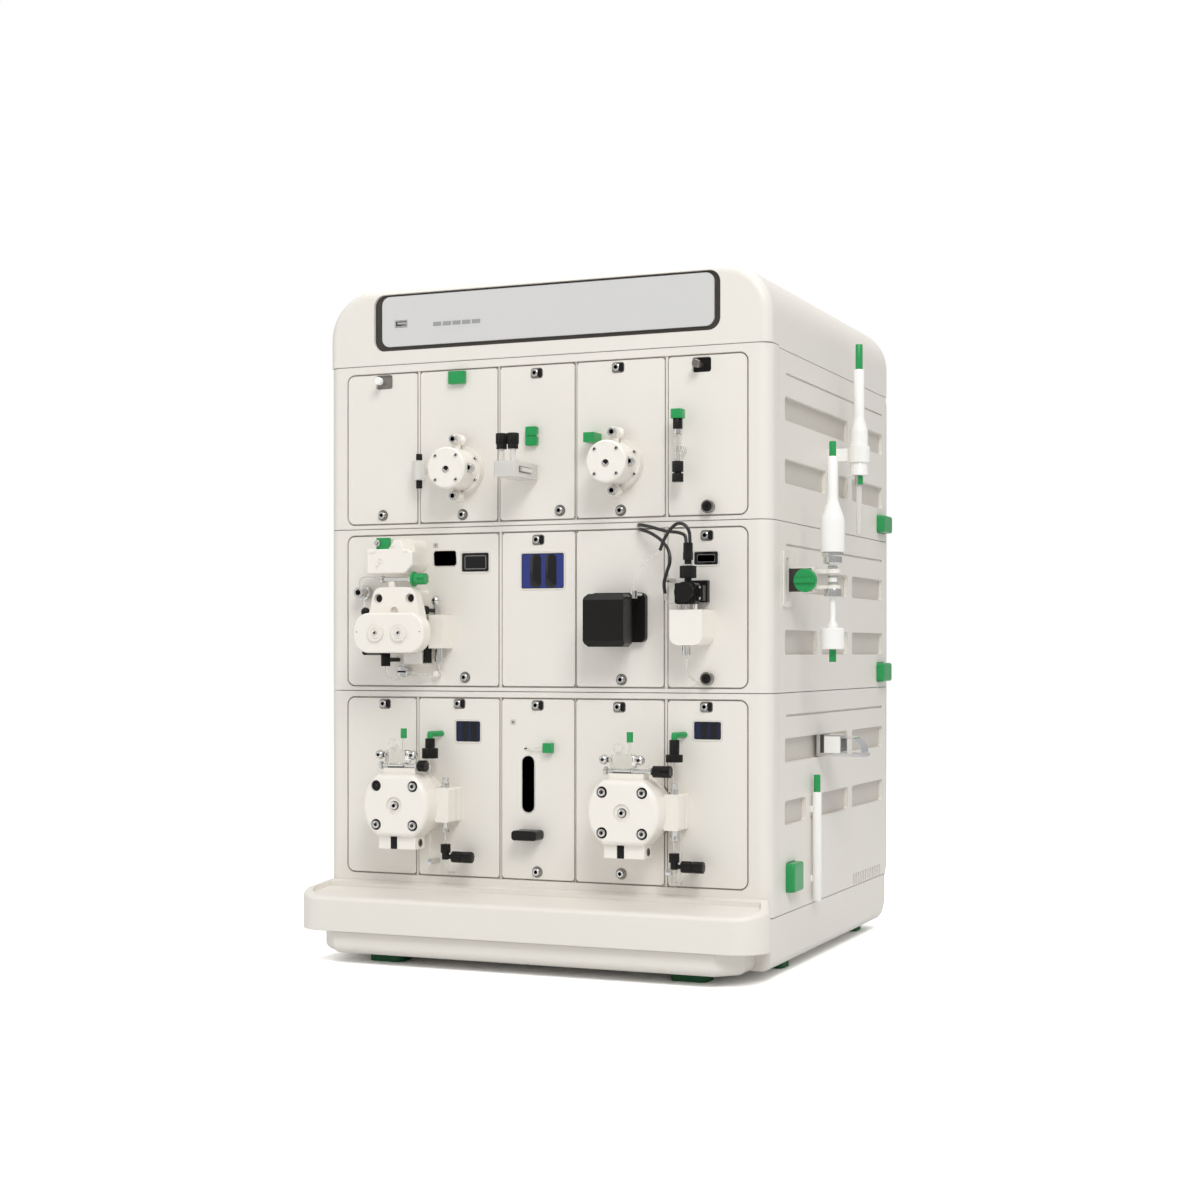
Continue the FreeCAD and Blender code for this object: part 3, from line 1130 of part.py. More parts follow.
def sample_pump_arch():
    """The bridge over the sample pump head: a flared plate with sockets, on a body with a post for the bar."""
    y0 = front(ARCH_FRONT - ARCH_PLATE)
    outline = [(ARCH_MIDDLE - ARCH_HALF_BOTTOM, ARCH_BOTTOM), (ARCH_MIDDLE + ARCH_HALF_BOTTOM, ARCH_BOTTOM),
               (ARCH_MIDDLE + ARCH_HALF_TOP, ARCH_TOP), (ARCH_MIDDLE - ARCH_HALF_TOP, ARCH_TOP)]
    plate = outline_solid(outline, y0, front(ARCH_FRONT))
    shoulders = edges_where(plate, lambda edge: runs_along(edge, "y") and edge.BoundBox.ZMin > ARCH_TOP - 1)
    plate = plate.makeFillet(ARCH_SHOULDER, shoulders)
    body = round_block(ARCH_MIDDLE - ARCH_BODY_HALF, ARCH_MIDDLE + ARCH_BODY_HALF, front(0), y0 - 1, ARCH_BOTTOM,
                       ARCH_TOP - 2, ARCH_SHOULDER / 3)
    left, right = ARCH_POST_X
    bar = sample_bar()
    post = box(left, right, y0, front(ARCH_FRONT - ARCH_PLATE / 2), ARCH_TOP - 2, SAMPLE_BAR[3])
    whole = fused([plate, body, post]).cut(bar)
    whole = whole.cut(rod_y(ARCH_MIDDLE, ARCH_NOTCH_Z, ARCH_NOTCH_RADIUS, front(ARCH_FRONT + 1),
                            front(ARCH_FRONT - ARCH_SOCKET_DEPTH)))
    for side in (-1, 1):
        whole = whole.cut(rod_y(ARCH_MIDDLE + side * ARCH_SOCKET_X, ARCH_SOCKET_Z, ARCH_SOCKET_RADIUS,
                                front(ARCH_FRONT + 1), front(ARCH_FRONT - ARCH_SOCKET_DEPTH)))
    return whole


def sample_pump_head():
    """An oval front plate with two bosses, on a round body that stands on the panel."""
    plate = round_block(SAMPLE_X - SAMPLE_HALF_WIDTH, SAMPLE_X + SAMPLE_HALF_WIDTH, front(SAMPLE_FRONT - SAMPLE_PLATE),
                        front(SAMPLE_FRONT), SAMPLE_Z - SAMPLE_HALF_HEIGHT, SAMPLE_Z + SAMPLE_HALF_HEIGHT,
                        SAMPLE_CORNER)
    plate = filleted_front(plate, front(SAMPLE_FRONT), 2.0)
    body = rod_y(SAMPLE_X, SAMPLE_Z, SAMPLE_BODY_RADIUS - 5, front(0), front(SAMPLE_FRONT - SAMPLE_PLATE + 1))
    bosses = [rod_y(SAMPLE_X + side * SAMPLE_BOSS_X, SAMPLE_Z, SAMPLE_BOSS_RADIUS, front(SAMPLE_FRONT - 1),
                    front(SAMPLE_FRONT + SAMPLE_BOSS_RISE)) for side in (-1, 1)]
    x0, x1, z0, z1 = SAMPLE_BLOCK
    block = box(x0, x1, front(0), front(SAMPLE_BLOCK_FRONT), z0, z1)
    bridge = box(SAMPLE_X, x0 + 1, front(0), front(SAMPLE_BLOCK_FRONT / 2), SAMPLE_Z - 4, SAMPLE_Z + 4)
    return fused([plate, body, block, bridge] + bosses)


def cross_bar(bar):
    """A bar across the front with a thinner pin at its right end for a purge knob."""
    start, end, _, z, radius = bar
    y = front(BAR_H)
    return fused([rod_x(y, z, radius, start, end), rod_x(y, z, PURGE_PIN_RADIUS, end, end + PURGE_PIN_LENGTH)])


def sample_bar():
    return cross_bar(SAMPLE_BAR)


def purge_knob(bar, flange):
    """A fluted knob bored for the pin of its bar, with an optional flange at its inner end."""
    _, end, tip, z, _ = bar
    y = front(BAR_H)
    start = end + PURGE_GAP
    middle = (start + tip) / 2
    knob = rod_x(y, z, PURGE_KNOB_RADIUS, start, tip)
    for index in range(PURGE_FLUTES):
        angle = 2 * math.pi * index / PURGE_FLUTES
        knob = knob.cut(rod_x(y + PURGE_KNOB_RADIUS * math.cos(angle), z + PURGE_KNOB_RADIUS * math.sin(angle),
                              PURGE_FLUTE_RADIUS, middle, tip))
    if flange:
        knob = knob.fuse(rod_x(y, z, flange, start, start + PURGE_FLANGE))
    bore = rod_x(y, z, PURGE_PIN_RADIUS + FIT_GAP, start, end + PURGE_PIN_LENGTH + PURGE_GAP)
    return knob.cut(bore)


def detector_box():
    """The detector's flow cell housing: chamfered front box, collar and back plate in one moulding."""
    x0, x1, z0, z1 = DETECTOR_BOX
    head = box(x0, x1, front(DETECTOR_COLLAR_FRONT), front(DETECTOR_FRONT), z0, z1)
    corners = edges_where(head, lambda edge: runs_along(edge, "y"))
    head = head.makeChamfer(DETECTOR_CORNER, corners)
    face = front(DETECTOR_FRONT)
    brow = edges_where(head, lambda edge: runs_along(edge, "x") and abs(edge.BoundBox.YMin - face) < 1e-3)
    head = head.makeChamfer(DETECTOR_CHAMFER, brow)
    x0, x1, z0, z1 = DETECTOR_COLLAR
    collar = box(x0, x1, front(0), front(DETECTOR_COLLAR_FRONT), z0, z1)
    x0, x1, z0, z1 = DETECTOR_PLATE
    plate = round_block(x0, x1, front(0), front(DETECTOR_PLATE_THICKNESS), z0, z1, DETECTOR_RADIUS)
    return fused([plate, collar, head])


def flow_cell():
    """The upright stack of a flow cell: neck, nut, block with a round face, and its wall bracket."""
    y = front(STACK_H)
    x0, x1, z0, z1 = STACK_BODY
    block = round_block(x0, x1, front(STACK_H - 6), front(STACK_BODY_FRONT), z0, z1, 2.0)
    profile = ((STACK_NECK_RADIUS, z1 - 1), (STACK_NECK_RADIUS, STACK_NUT_BOTTOM),
               (STACK_NUT_RADIUS, STACK_NUT_BOTTOM), (STACK_NUT_RADIUS, STACK_NUT_TOP),
               (STACK_NECK_RADIUS, STACK_NUT_TOP), (STACK_NECK_RADIUS, STACK_PLUG_BOTTOM),
               (STACK_PLUG_RADIUS, STACK_PLUG_BOTTOM), (STACK_PLUG_RADIUS, STACK_NECK_TOP))
    stem = turned(STACK_X, y, profile)
    face = rod_y(STACK_X, STACK_FACE_Z, STACK_FACE_RADIUS, front(STACK_BODY_FRONT - 1), front(STACK_FACE_FRONT))
    face = filleted_front(face, front(STACK_FACE_FRONT), 1.0)
    bracket = box(x0 + 2, x1 + 2, front(0), front(STACK_BRACKET_THICKNESS), z0 + 2, z1 + 3)
    neck = box(x0 + 4, x1 - 4, front(STACK_BRACKET_THICKNESS), front(STACK_H - 6), z0 + 4, z1 - 4)
    left, right, low, high = STACK_EAR
    ear = box(left, right, front(STACK_EAR_H[0]), front(STACK_EAR_H[1]), low, high)
    return fused([block, stem, face, bracket, neck, ear])


def cell_block():
    """The white block under the flow cell, rounded below, with three pins that stand up to the cell."""
    x0, x1, z0, z1 = WHITE_BLOCK
    block = box(x0, x1, front(0), front(WHITE_BLOCK_FRONT), z0, z1)
    keel = edges_where(block, lambda edge: runs_along(edge, "y") and edge.BoundBox.ZMax < z0 + 1)
    block = block.makeFillet(WHITE_BLOCK_KEEL, keel)
    y = front(STACK_H)
    pins = [rod_z(STACK_X + step * PIN_SPREAD, y, PIN_RADIUS, z1 - 1, STACK_BODY[2]) for step in (-1, 0, 1)]
    return fused([block] + pins)


def side_envelope(x):
    """The outside of the valve block on the right of a pump head, without its seam."""
    return round_block(x + SIDE_BLOCK_LEFT, x + SIDE_BLOCK_RIGHT, front(0), front(SIDE_BLOCK_FRONT),
                       PUMP_Z - SIDE_BLOCK_HALF, PUMP_Z + SIDE_BLOCK_HALF, 2.0)


def side_block(x):
    """The valve block in two layers with a seam round it."""
    h0, h1 = SIDE_SEAM_H
    outer = box(x + SIDE_BLOCK_LEFT - 1, x + SIDE_BLOCK_RIGHT + 1, front(h0), front(h1), PUMP_Z - SIDE_BLOCK_HALF - 1,
                PUMP_Z + SIDE_BLOCK_HALF + 1)
    inner = box(x + SIDE_BLOCK_LEFT + SIDE_SEAM_DEPTH, x + SIDE_BLOCK_RIGHT - SIDE_SEAM_DEPTH, front(h0), front(h1),
                PUMP_Z - SIDE_BLOCK_HALF + SIDE_SEAM_DEPTH, PUMP_Z + SIDE_BLOCK_HALF - SIDE_SEAM_DEPTH)
    return side_envelope(x).cut(outer.cut(inner))


def pump_head(x):
    """A piston pump head: collar, flat-sided drum with rounded rims, neck above and foot below."""
    collar = rod_y(x, PUMP_Z, PUMP_COLLAR_RADIUS, front(0), front(PUMP_BACK + 1))
    drum = rod_y(x, PUMP_Z, PUMP_RADIUS, front(PUMP_BACK), front(PUMP_FRONT))
    drum = drum.common(box(x - PUMP_RADIUS - 1, x + PUMP_RADIUS + 1, front(0), front(PUMP_FRONT + 1),
                           PUMP_Z - PUMP_HALF_HEIGHT, PUMP_Z + PUMP_HALF_HEIGHT))
    drum = filleted_front(drum, front(PUMP_FRONT), PUMP_FILLET)
    neck = box(x - PUMP_NECK_HALF, x + PUMP_NECK_HALF, front(PUMP_BACK + 2), front(PUMP_NECK_FRONT),
               PUMP_Z + PUMP_HALF_HEIGHT - 3, PUMP_Z + PUMP_NECK_TOP)
    foot = box(x - PUMP_FOOT_HALF, x + PUMP_FOOT_HALF, front(PUMP_BACK + 2), front(PUMP_FOOT_FRONT),
               PUMP_Z + PUMP_FOOT_BOTTOM, PUMP_Z - PUMP_HALF_HEIGHT + 3)
    head = fused([collar, drum, neck, foot])
    head = head.cut(rod_y(x, PUMP_Z, PUMP_DISH_RADIUS, front(PUMP_FRONT + 1), front(PUMP_FRONT - PUMP_DISH_DEPTH)))
    for side in (-1, 1):
        for level in (-1, 1):
            head = head.cut(rod_y(x + side * PUMP_SCREW_X, PUMP_Z + level * PUMP_SCREW_Z,
                                  PUMP_SCREW_RADIUS + FIT_GAP, front(PUMP_FRONT + 1),
                                  front(PUMP_FRONT - PUMP_DISH_DEPTH)))
    slot = box(x + PUMP_SLOT_LEFT, x, front(PUMP_FOOT_FRONT + 1), front(PUMP_FOOT_FRONT - PUMP_SLOT_DEPTH),
               PUMP_Z + PUMP_FOOT_BOTTOM - 1, PUMP_Z - PUMP_HALF_HEIGHT)
    return head.cut(slot).cut(side_envelope(x))


def pump_bar(index):
    """The bar over a pump's neck as start, pin end, knob tip, level and radius."""
    start, end, tip = PUMP_BARS[index]
    x = PUMP_X[index]
    return (x + start, x + end, x + tip, PUMP_Z + PUMP_BAR_Z, BAR_RADIUS)


def pump_manifold(index):
    """The clear block over a pump's neck with its saddle, loop and stem."""
    x = PUMP_X[index]
    left, right, bottom, top = MANIFOLD
    block = round_block(x + left, x + right, front(MANIFOLD_H[0]), front(MANIFOLD_H[1]), PUMP_Z + bottom, PUMP_Z + top,
                        2.0)
    saddle = box(x + SADDLE[0], x + SADDLE[1], front(SADDLE_H[0]), front(SADDLE_H[1]), PUMP_Z + PUMP_NECK_TOP,
                 PUMP_Z + bottom + 1)
    y = front((MANIFOLD_H[0] + MANIFOLD_H[1]) / 2)
    ring_z = PUMP_Z + top + LOOP_RADIUS + LOOP_WIRE - LOOP_SINK
    loop = Part.makeTorus(LOOP_RADIUS, LOOP_WIRE, vec(x + LOOP_X, y, ring_z), vec(0, 1, 0))
    stem = rod_z(x + CAP_X, y, CAP_STEM_RADIUS, PUMP_Z + top - 1, PUMP_Z + CAP_LEVELS[1])
    return fused([block, saddle, stem]).cut(cross_bar(pump_bar(index))).fuse(loop)


def manifold_balls(x):
    """Steel ball fittings on either side of the clear block."""
    y = front((MANIFOLD_H[0] + MANIFOLD_H[1]) / 2)
    balls = []
    for (step, level), side in zip(MANIFOLD_BALLS, (MANIFOLD[0], MANIFOLD[1])):
        ball = Part.makeSphere(MANIFOLD_BALL_RADIUS, vec(x + step, y, PUMP_Z + level))
        ball = ball.fuse(rod_x(y, PUMP_Z + level, MANIFOLD_STEM_RADIUS, x + step, x + side))
        balls.append(ball)
    return balls


def valve_feed(place):
    """A black stepped fitting that hangs from its green elbow."""
    x, low, step, high = place
    y = front(VALVE_FEED_H)
    wide, narrow = VALVE_FEED_RADII
    return turned(x, y, ((wide, low), (wide, step), (narrow, step), (narrow, high)))


def green_elbow(place):
    """The green elbow that carries a black fitting from the panel."""
    x, _, _, high = place
    corner = vec(x, front(VALVE_FEED_H), high + ELBOW_RISE)
    root = vec(x + ELBOW_SWING, front(-2), high + ELBOW_RISE)
    arm = Part.makeCylinder(ELBOW_RADIUS, (root - corner).Length, corner, root - corner)
    arm = arm.common(box(x - 20, x + 20, front(0), front(VALVE_FEED_H + 5), high - 5, high + 20))
    return fused([rod_z(x, front(VALVE_FEED_H), ELBOW_RADIUS, high, high + ELBOW_RISE),
                  Part.makeSphere(ELBOW_RADIUS, corner), arm])


def black_branch(x):
    """The black nut under a side block, its branch to the right and the clip that holds both."""
    low, high, radius = BLACK_NUT
    left, right, level, thick = BLACK_BODY
    y = front(SIDE_PORT_H)
    nut_x = x + SIDE_PORT_X
    clip = box(x + BLACK_CLIP[0], x + BLACK_CLIP[1], front(0), y, level - BLACK_LINK_RADIUS, level + BLACK_LINK_RADIUS)
    return fused([rod_z(nut_x, y, radius, low, high), rod_x(y, level, BLACK_LINK_RADIUS, nut_x, x + left),
                  rod_x(y, level, thick, x + left, x + right), clip])


def motor_space(x):
    """What the front frame leaves free round the drive of a pump."""
    return rod_y(x, PUMP_Z, MOTOR_RADIUS + MOTOR_CLEAR, FRONT_Y - 1, FRONT_Y + BEZEL_DEPTH + 1)


def pump_motor(x):
    """The drive behind a pump head; its shaft ends in the head's collar."""
    back = FRONT_Y + PANEL_THICKNESS
    body = rod_y(x, PUMP_Z, MOTOR_RADIUS, back, back + MOTOR_LENGTH)
    shaft = rod_y(x, PUMP_Z, PUMP_BORE_RADIUS, FRONT_Y, back + 1)
    return fused([body, shaft])


def handle_bar():
    """The black bar across bay three, rounded in front."""
    x0, x1, z0, z1 = HANDLE_BAR
    bar = round_block(x0, x1, front(0), front(HANDLE_FRONT), z0, z1, HANDLE_RADIUS)
    return filleted_front(bar, front(HANDLE_FRONT), HANDLE_RADIUS / 2)


def wall_clip(x, y, radius, z0, z1):
    """A small arm from the right wall that ends in a split ring round a column."""
    ring = rod_z(x, y, radius + CLIP_WALL, z0, z1).cut(rod_z(x, y, radius, z0, z1))
    mouth = box(x, x + radius + CLIP_WALL + 1, y - radius / 2, y + radius / 2, z0, z1)
    arm = box(SIDE_X, x - radius - CLIP_WALL / 2, y - 3, y + 3, z0, z1)
    return fused([ring.cut(mouth), arm])


def column_one():
    body_radius = COLUMN_ONE_PROFILE[4][0]
    z0, z1 = COLUMN_ONE_CLIP_Z
    column = turned(COLUMN_ONE_X, COLUMN_ONE_Y, COLUMN_ONE_PROFILE)
    return [column, wall_clip(COLUMN_ONE_X, COLUMN_ONE_Y, body_radius, z0, z1)]


def column_three():
    x = SIDE_X + COLUMN_THREE_STANDOFF
    radius = COLUMN_THREE_PROFILE[0][0]
    pieces = [turned(x, COLUMN_THREE_Y, COLUMN_THREE_PROFILE)]
    for z in COLUMN_THREE_CLIPS:
        pieces.append(box(SIDE_X, x - radius + 0.5, COLUMN_THREE_Y - 2, COLUMN_THREE_Y + 2, z, z + 6))
    return [fused(pieces)]


def clamp_slot_plate():
    """The slotted plate on the right wall that the column clamp slides along."""
    y0, y1, z0, z1 = CLAMP_SLOT
    plate = round_block(SIDE_X, SIDE_X + CLAMP_PLATE_THICKNESS, y0 - CLAMP_PLATE_MARGIN, CLAMP_BLOCK[1] + 1,
                        z0 - CLAMP_PLATE_MARGIN, z1 + CLAMP_PLATE_MARGIN, 2.0, "x")
    return plate.cut(box(SIDE_X - 1, SIDE_X + CLAMP_PLATE_THICKNESS + 1, y0, y1, z0, z1))


def column_clamp():
    """The sliding block with two arms that hold the collar of the long column."""
    y0, y1, z0, z1 = CLAMP_BLOCK
    begin = SIDE_X + CLAMP_PLATE_THICKNESS + CLAMP_GAP
    block = round_block(begin, SIDE_X + CLAMP_BLOCK_REACH, y0, y1, z0, z1, 2.0, "x")
    pieces = [block]
    for low, high in CLAMP_ARMS:
        arm = box(SIDE_X + CLAMP_BLOCK_REACH - 1, COLUMN_TWO_X, COLUMN_TWO_Y - CLAMP_ARM_WIDTH / 2,
                  COLUMN_TWO_Y + CLAMP_ARM_WIDTH / 2, low, high)
        end = rod_z(COLUMN_TWO_X, COLUMN_TWO_Y, CLAMP_ARM_WIDTH / 2 + 1, low, high)
        pieces.extend([arm, end])
    clamp = fused(pieces)
    clamp = clamp.cut(rod_z(COLUMN_TWO_X, COLUMN_TWO_Y, CLAMP_BORE, z0 - 20, z1 + 20))
    pin = rod_y(SIDE_X + CLAMP_KNOB_H, CLAMP_KNOB_Z, CLAMP_STEM_RADIUS, CLAMP_KNOB_FRONT + CLAMP_KNOB_DISC / 2 + CLAMP_TURN_GAP,
                y0 + 1)
    return fused([clamp, pin])


def clamp_knob():
    """A round green knob with a grip bar across it, on the clamp's pin."""
    x = SIDE_X + CLAMP_KNOB_H
    back = CLAMP_BLOCK[0] - CLAMP_TURN_GAP
    disc = rod_y(x, CLAMP_KNOB_Z, CLAMP_KNOB_RADIUS, CLAMP_KNOB_FRONT, CLAMP_KNOB_FRONT + CLAMP_KNOB_DISC)
    disc = filleted_front(disc, CLAMP_KNOB_FRONT, 1.0)
    hub = rod_y(x, CLAMP_KNOB_Z, CLAMP_KNOB_RADIUS * 0.5, CLAMP_KNOB_FRONT + CLAMP_KNOB_DISC, back)
    grip = box(x - CLAMP_KNOB_RADIUS * 0.9, x + CLAMP_KNOB_RADIUS * 0.9, CLAMP_KNOB_FRONT - CLAMP_GRIP_PROUD,
               CLAMP_KNOB_FRONT + 1, CLAMP_KNOB_Z - CLAMP_GRIP_HALF, CLAMP_KNOB_Z + CLAMP_GRIP_HALF)
    knob = fused([disc, hub, grip])
    return knob.cut(rod_y(x, CLAMP_KNOB_Z, CLAMP_STEM_RADIUS + FIT_GAP, CLAMP_KNOB_FRONT + CLAMP_KNOB_DISC / 2, back))


def hook_bracket():
    """A steel plate that stands out of the wall, with a white block and a curved chrome strap on it."""
    z0, z1 = HOOK_PLATE_Z
    plate = box(SIDE_X, SIDE_X + HOOK_REACH, HOOK_FRONT, HOOK_REAR, z0, z1)
    inner, outer, top = HOOK_BLOCK
    block = box(SIDE_X, SIDE_X + outer, HOOK_FRONT, HOOK_REAR, z1, top)
    end = SIDE_X + HOOK_REACH - HOOK_STRAP_THICKNESS
    begin = SIDE_X + outer - 1
    lift = top - HOOK_STRAP_THICKNESS
    bend = end - HOOK_STRAP_RADIUS
    strap = box(begin, bend, HOOK_FRONT, HOOK_REAR, lift - HOOK_STRAP_THICKNESS, lift)
    drop = lift - HOOK_STRAP_RADIUS
    curl = rod_y(bend, drop, HOOK_STRAP_RADIUS, HOOK_FRONT, HOOK_REAR)
    curl = curl.cut(rod_y(bend, drop, HOOK_STRAP_RADIUS - HOOK_STRAP_THICKNESS, HOOK_FRONT, HOOK_REAR))
    curl = curl.common(box(bend, end, HOOK_FRONT, HOOK_REAR, drop, lift))
    return fused([plate, block, strap, curl])


def at(x, height, level):
    """A point from its x, its height above the panels and its level."""
    return vec(x, front(height), level)


def steps_on_panel(x, z, steps):
    """A stepped round post on a panel, from radius and height pairs going out."""
    pieces = []
    base = 0.0
    for radius, height in steps:
        pieces.append(rod_y(x, z, radius, front(base), front(height)))
        base = height
    return fused(pieces)


def ball_on_post(place):
    x, z, height = place
    post = rod_y(x, z, BLACK_BALL_POST, front(0), front(height))
    return post.fuse(Part.makeSphere(BLACK_BALL_RADIUS, at(x, height, z)))


def sample_base():
    """The small white blocks under the sample pump head."""
    x0, x1, z0, z1 = SAMPLE_BASE
    x, z = SAMPLE_STUB
    base = box(x0, x1, front(0), front(SAMPLE_BASE_FRONT), z0, z1).cut(black_drop())
    return [base, rod_y(x, z, SAMPLE_STUB_RADIUS, front(0), front(SAMPLE_STUB_FRONT))]


def black_drop():
    x, low, high, height, radius = BLACK_DROP
    return rod_z(x, front(height), radius, low, high)


def pale_ball():
    """The steel ball on its stem over the white block."""
    x, z, height = PALE_BALL
    stem = rod_z(x, front(height), PALE_STEM_RADIUS, SAMPLE_BLOCK[3], z)
    return stem.fuse(Part.makeSphere(PALE_BALL_RADIUS, at(x, height, z)))


def steel_group():
    """Steel fittings of the front, one solid each."""
    fittings = [cross_bar(SAMPLE_BAR)]
    fittings.extend(cross_bar(pump_bar(index)) for index in range(len(PUMP_X)))
    for x in VALVE_X:
        fittings.extend(valve_caps(x))
    y = front(SIDE_PORT_H)
    for x in PUMP_X:
        top = PUMP_Z + SIDE_BLOCK_HALF
        bottom = PUMP_Z - SIDE_BLOCK_HALF
        fittings.append(rod_z(x + SIDE_PORT_X, y, STEEL_NUT_RADIUS, top, top + STEEL_NUT_LENGTH))
        fittings.append(rod_z(x + SIDE_PORT_X, y, STEEL_NUT_RADIUS, bottom - STEEL_NUT_LENGTH, bottom))
        fittings.extend(manifold_balls(x))
    fittings.append(rocker_cradle())
    fittings.append(steps_on_panel(SIDE_FITTING[0], SIDE_FITTING[1], SIDE_FITTING_STEPS))
    fittings.append(steps_on_panel(STEEL_KNOB[0], STEEL_KNOB[1], STEEL_KNOB_STEPS))
    fittings.append(pale_ball())
    x, low, radius = DRAIN
    fittings.append(rod_z(x, front(SAMPLE_BLOCK_FRONT / 2), radius, low, SAMPLE_BLOCK[2]))
    x, low, radius = CELL_NUT
    fittings.append(rod_z(x, front(STACK_H), radius, low, WHITE_BLOCK[2]))
    x, low, high, radius = BAY_FITTING
    fittings.append(fused([rod_z(x, front(BAY_FITTING_H), radius, low, high),
                           rod_y(x, (low + high) / 2, radius / 2, front(DETECTOR_PLATE_THICKNESS), front(BAY_FITTING_H))]))
    x0, x1, z0, z1 = LEAD_CLIP
    fittings.append(box(x0, x1, front(0), front(LEAD_CLIP_H), z0, z1))
    fittings.append(captive_knob(PALE_KNOB[0], PALE_KNOB[1], POCKET_DEPTH))
    for x, low in TUBE_CLIPS:
        fittings.append(box(x - TUBE_CLIP_HALF, x + TUBE_CLIP_HALF, front(0), front(VALVE_FEED_H + TUBE_CLIP_HALF), low,
                            low + TUBE_CLIP_HEIGHT))
    return fittings


def black_group():
    """Black fittings of the front, one solid each."""
    nuts = [rod_z(x, front(TWIN_H), TWIN_NUT_RADIUS, TWIN_NUT_BOTTOM, TWIN_NUT_TOP) for x in TWIN_X]
    nuts.extend(captive_knob(x, z, sunk) for x, z, sunk in CAPTIVE_KNOBS)
    nuts.extend(valve_feed(place) for place in VALVE_FEEDS)
    nuts.extend(black_branch(x) for x in PUMP_X)
    nuts.extend(ball_on_post(place) for place in BLACK_BALLS)
    nuts.append(black_drop())
    x, low, high, height, radius = BLACK_FOOT
    middle = (low + high) / 2
    nuts.append(fused([rod_z(x, front(height), radius, low, high),
                       rod_y(x, middle, radius / 2, front(0), front(height))]))
    x, z, height, radius = BLACK_PEG
    nuts.append(rod_y(x, z, radius, front(0), front(height)))
    return nuts


def green_group():
    """Green plugs, the flag on the mixer, the elbows and the caps over the pumps."""
    plugs = [box(x0, x1, front(0), front(h), z0, z1) for x0, x1, z0, z1, h in GREEN_PLUGS]
    left, right, top = GREEN_FLAG
    plugs.append(box(left, right, front(GREEN_FLAG_H[0]), front(GREEN_FLAG_H[1]), MIXER_SHOULDER, top))
    plugs.extend(green_elbow(place) for place in VALVE_FEEDS)
    y = front((MANIFOLD_H[0] + MANIFOLD_H[1]) / 2)
    for x in PUMP_X:
        plugs.append(rod_z(x + CAP_X, y, CAP_RADIUS, PUMP_Z + CAP_LEVELS[1], PUMP_Z + CAP_LEVELS[2]))
    return plugs


def clear_tubes():
    """The thin clear tubes between the fittings."""
    bar_left = SAMPLE_BAR[0]
    routes = [
        (at(-180.0, 11, 293.4), at(-179.5, 13, 299.5), at(-172.5, 18, 302.0), at(-160.0, 26, 301.4),
         at(bar_left, BAR_H, SAMPLE_BAR[3])),
        (at(-176.8, 12, 283.7), at(-168.3, 22.5, 272.2)),
        (at(BLACK_FOOT[0], 25, BLACK_FOOT[1]), at(-144.6, 24, 211.5), at(-141.2, 18, 205.6), at(-135.3, 10, 208.1)),
        (at(-129.5, 10, 213.9), at(-122.0, 10.5, 211.4), at(-112.0, 8.5, 211.0), at(-104.6, 5, 212.0)),
        (at(DRAIN[0], 11, DRAIN[1]), at(-97.0, 9.5, 216.5), at(-98.6, 5, 212.0)),
        (at(BAY_FITTING[0], BAY_FITTING_H, BAY_FITTING[2]), at(103.5, 26.5, 297.0), at(113.0, 28, 309.5), LEAD_MEET),
        (LEAD_END, at(131.9, 24.5, 278.0), at(135.0, 25.2, 274.8), at(139.4, 25.8, 274.6), at(STACK_BODY[0], 26, 276.4)),
        (at(CELL_NUT[0], STACK_H, CELL_NUT[1]), at(152.0, 25.5, 221.5), at(150.5, 19, 212.5), at(152.0, 6, 206.5),
         at(153.5, 0, 205.3)),
        (at(VALVE_FEEDS[0][0], VALVE_FEED_H, VALVE_FEEDS[0][1]), at(VALVE_FEEDS[0][0], VALVE_FEED_H, 113.3)),
        (at(VALVE_FEEDS[0][0], VALVE_FEED_H, 70.3), at(VALVE_FEEDS[0][0], VALVE_FEED_H, 41.0)),
        (at(VALVE_FEEDS[1][0], VALVE_FEED_H, VALVE_FEEDS[1][1]), at(137.7, SIDE_PORT_H, 116.7)),
        (at(142.6, 14, 75.9), at(143.0, 14, 58.0), at(142.6, 14, 42.0), at(142.2, 14.1, 32.5), at(139.6, 14.3, 27.4),
         at(134.2, 14.6, 27.2), at(131.7, 14.8, 31.2), at(131.4, 15, 36.0)),
        (at(5.7, 3, 145.0), at(-5.0, 3.6, 144.4), at(-14.5, 0, 144.0)),
    ]
    low, high, _ = BLACK_NUT
    for x in PUMP_X:
        port = x + SIDE_PORT_X
        routes.append((at(port, SIDE_PORT_H, PUMP_Z - SIDE_BLOCK_HALF - STEEL_NUT_LENGTH), at(port, SIDE_PORT_H, high)))
        routes.append((at(port, SIDE_PORT_H, low), at(port, SIDE_PORT_H - 0.5, 35.0), at(port, 13, 29.0),
                       at(port, 0, 27.5)))
    return [tube(route, TUBE_DIAMETER) for route in routes]


def trimmed(tubes):
    """Each tube with whatever it runs into taken off its ends."""
    result = []
    for solid in tubes:
        for placed in FILED:
            if solid.BoundBox.intersect(placed.BoundBox):
                solid = max(solid.cut(placed).Solids, key=lambda piece: piece.Volume)
        result.append(solid)
    return result


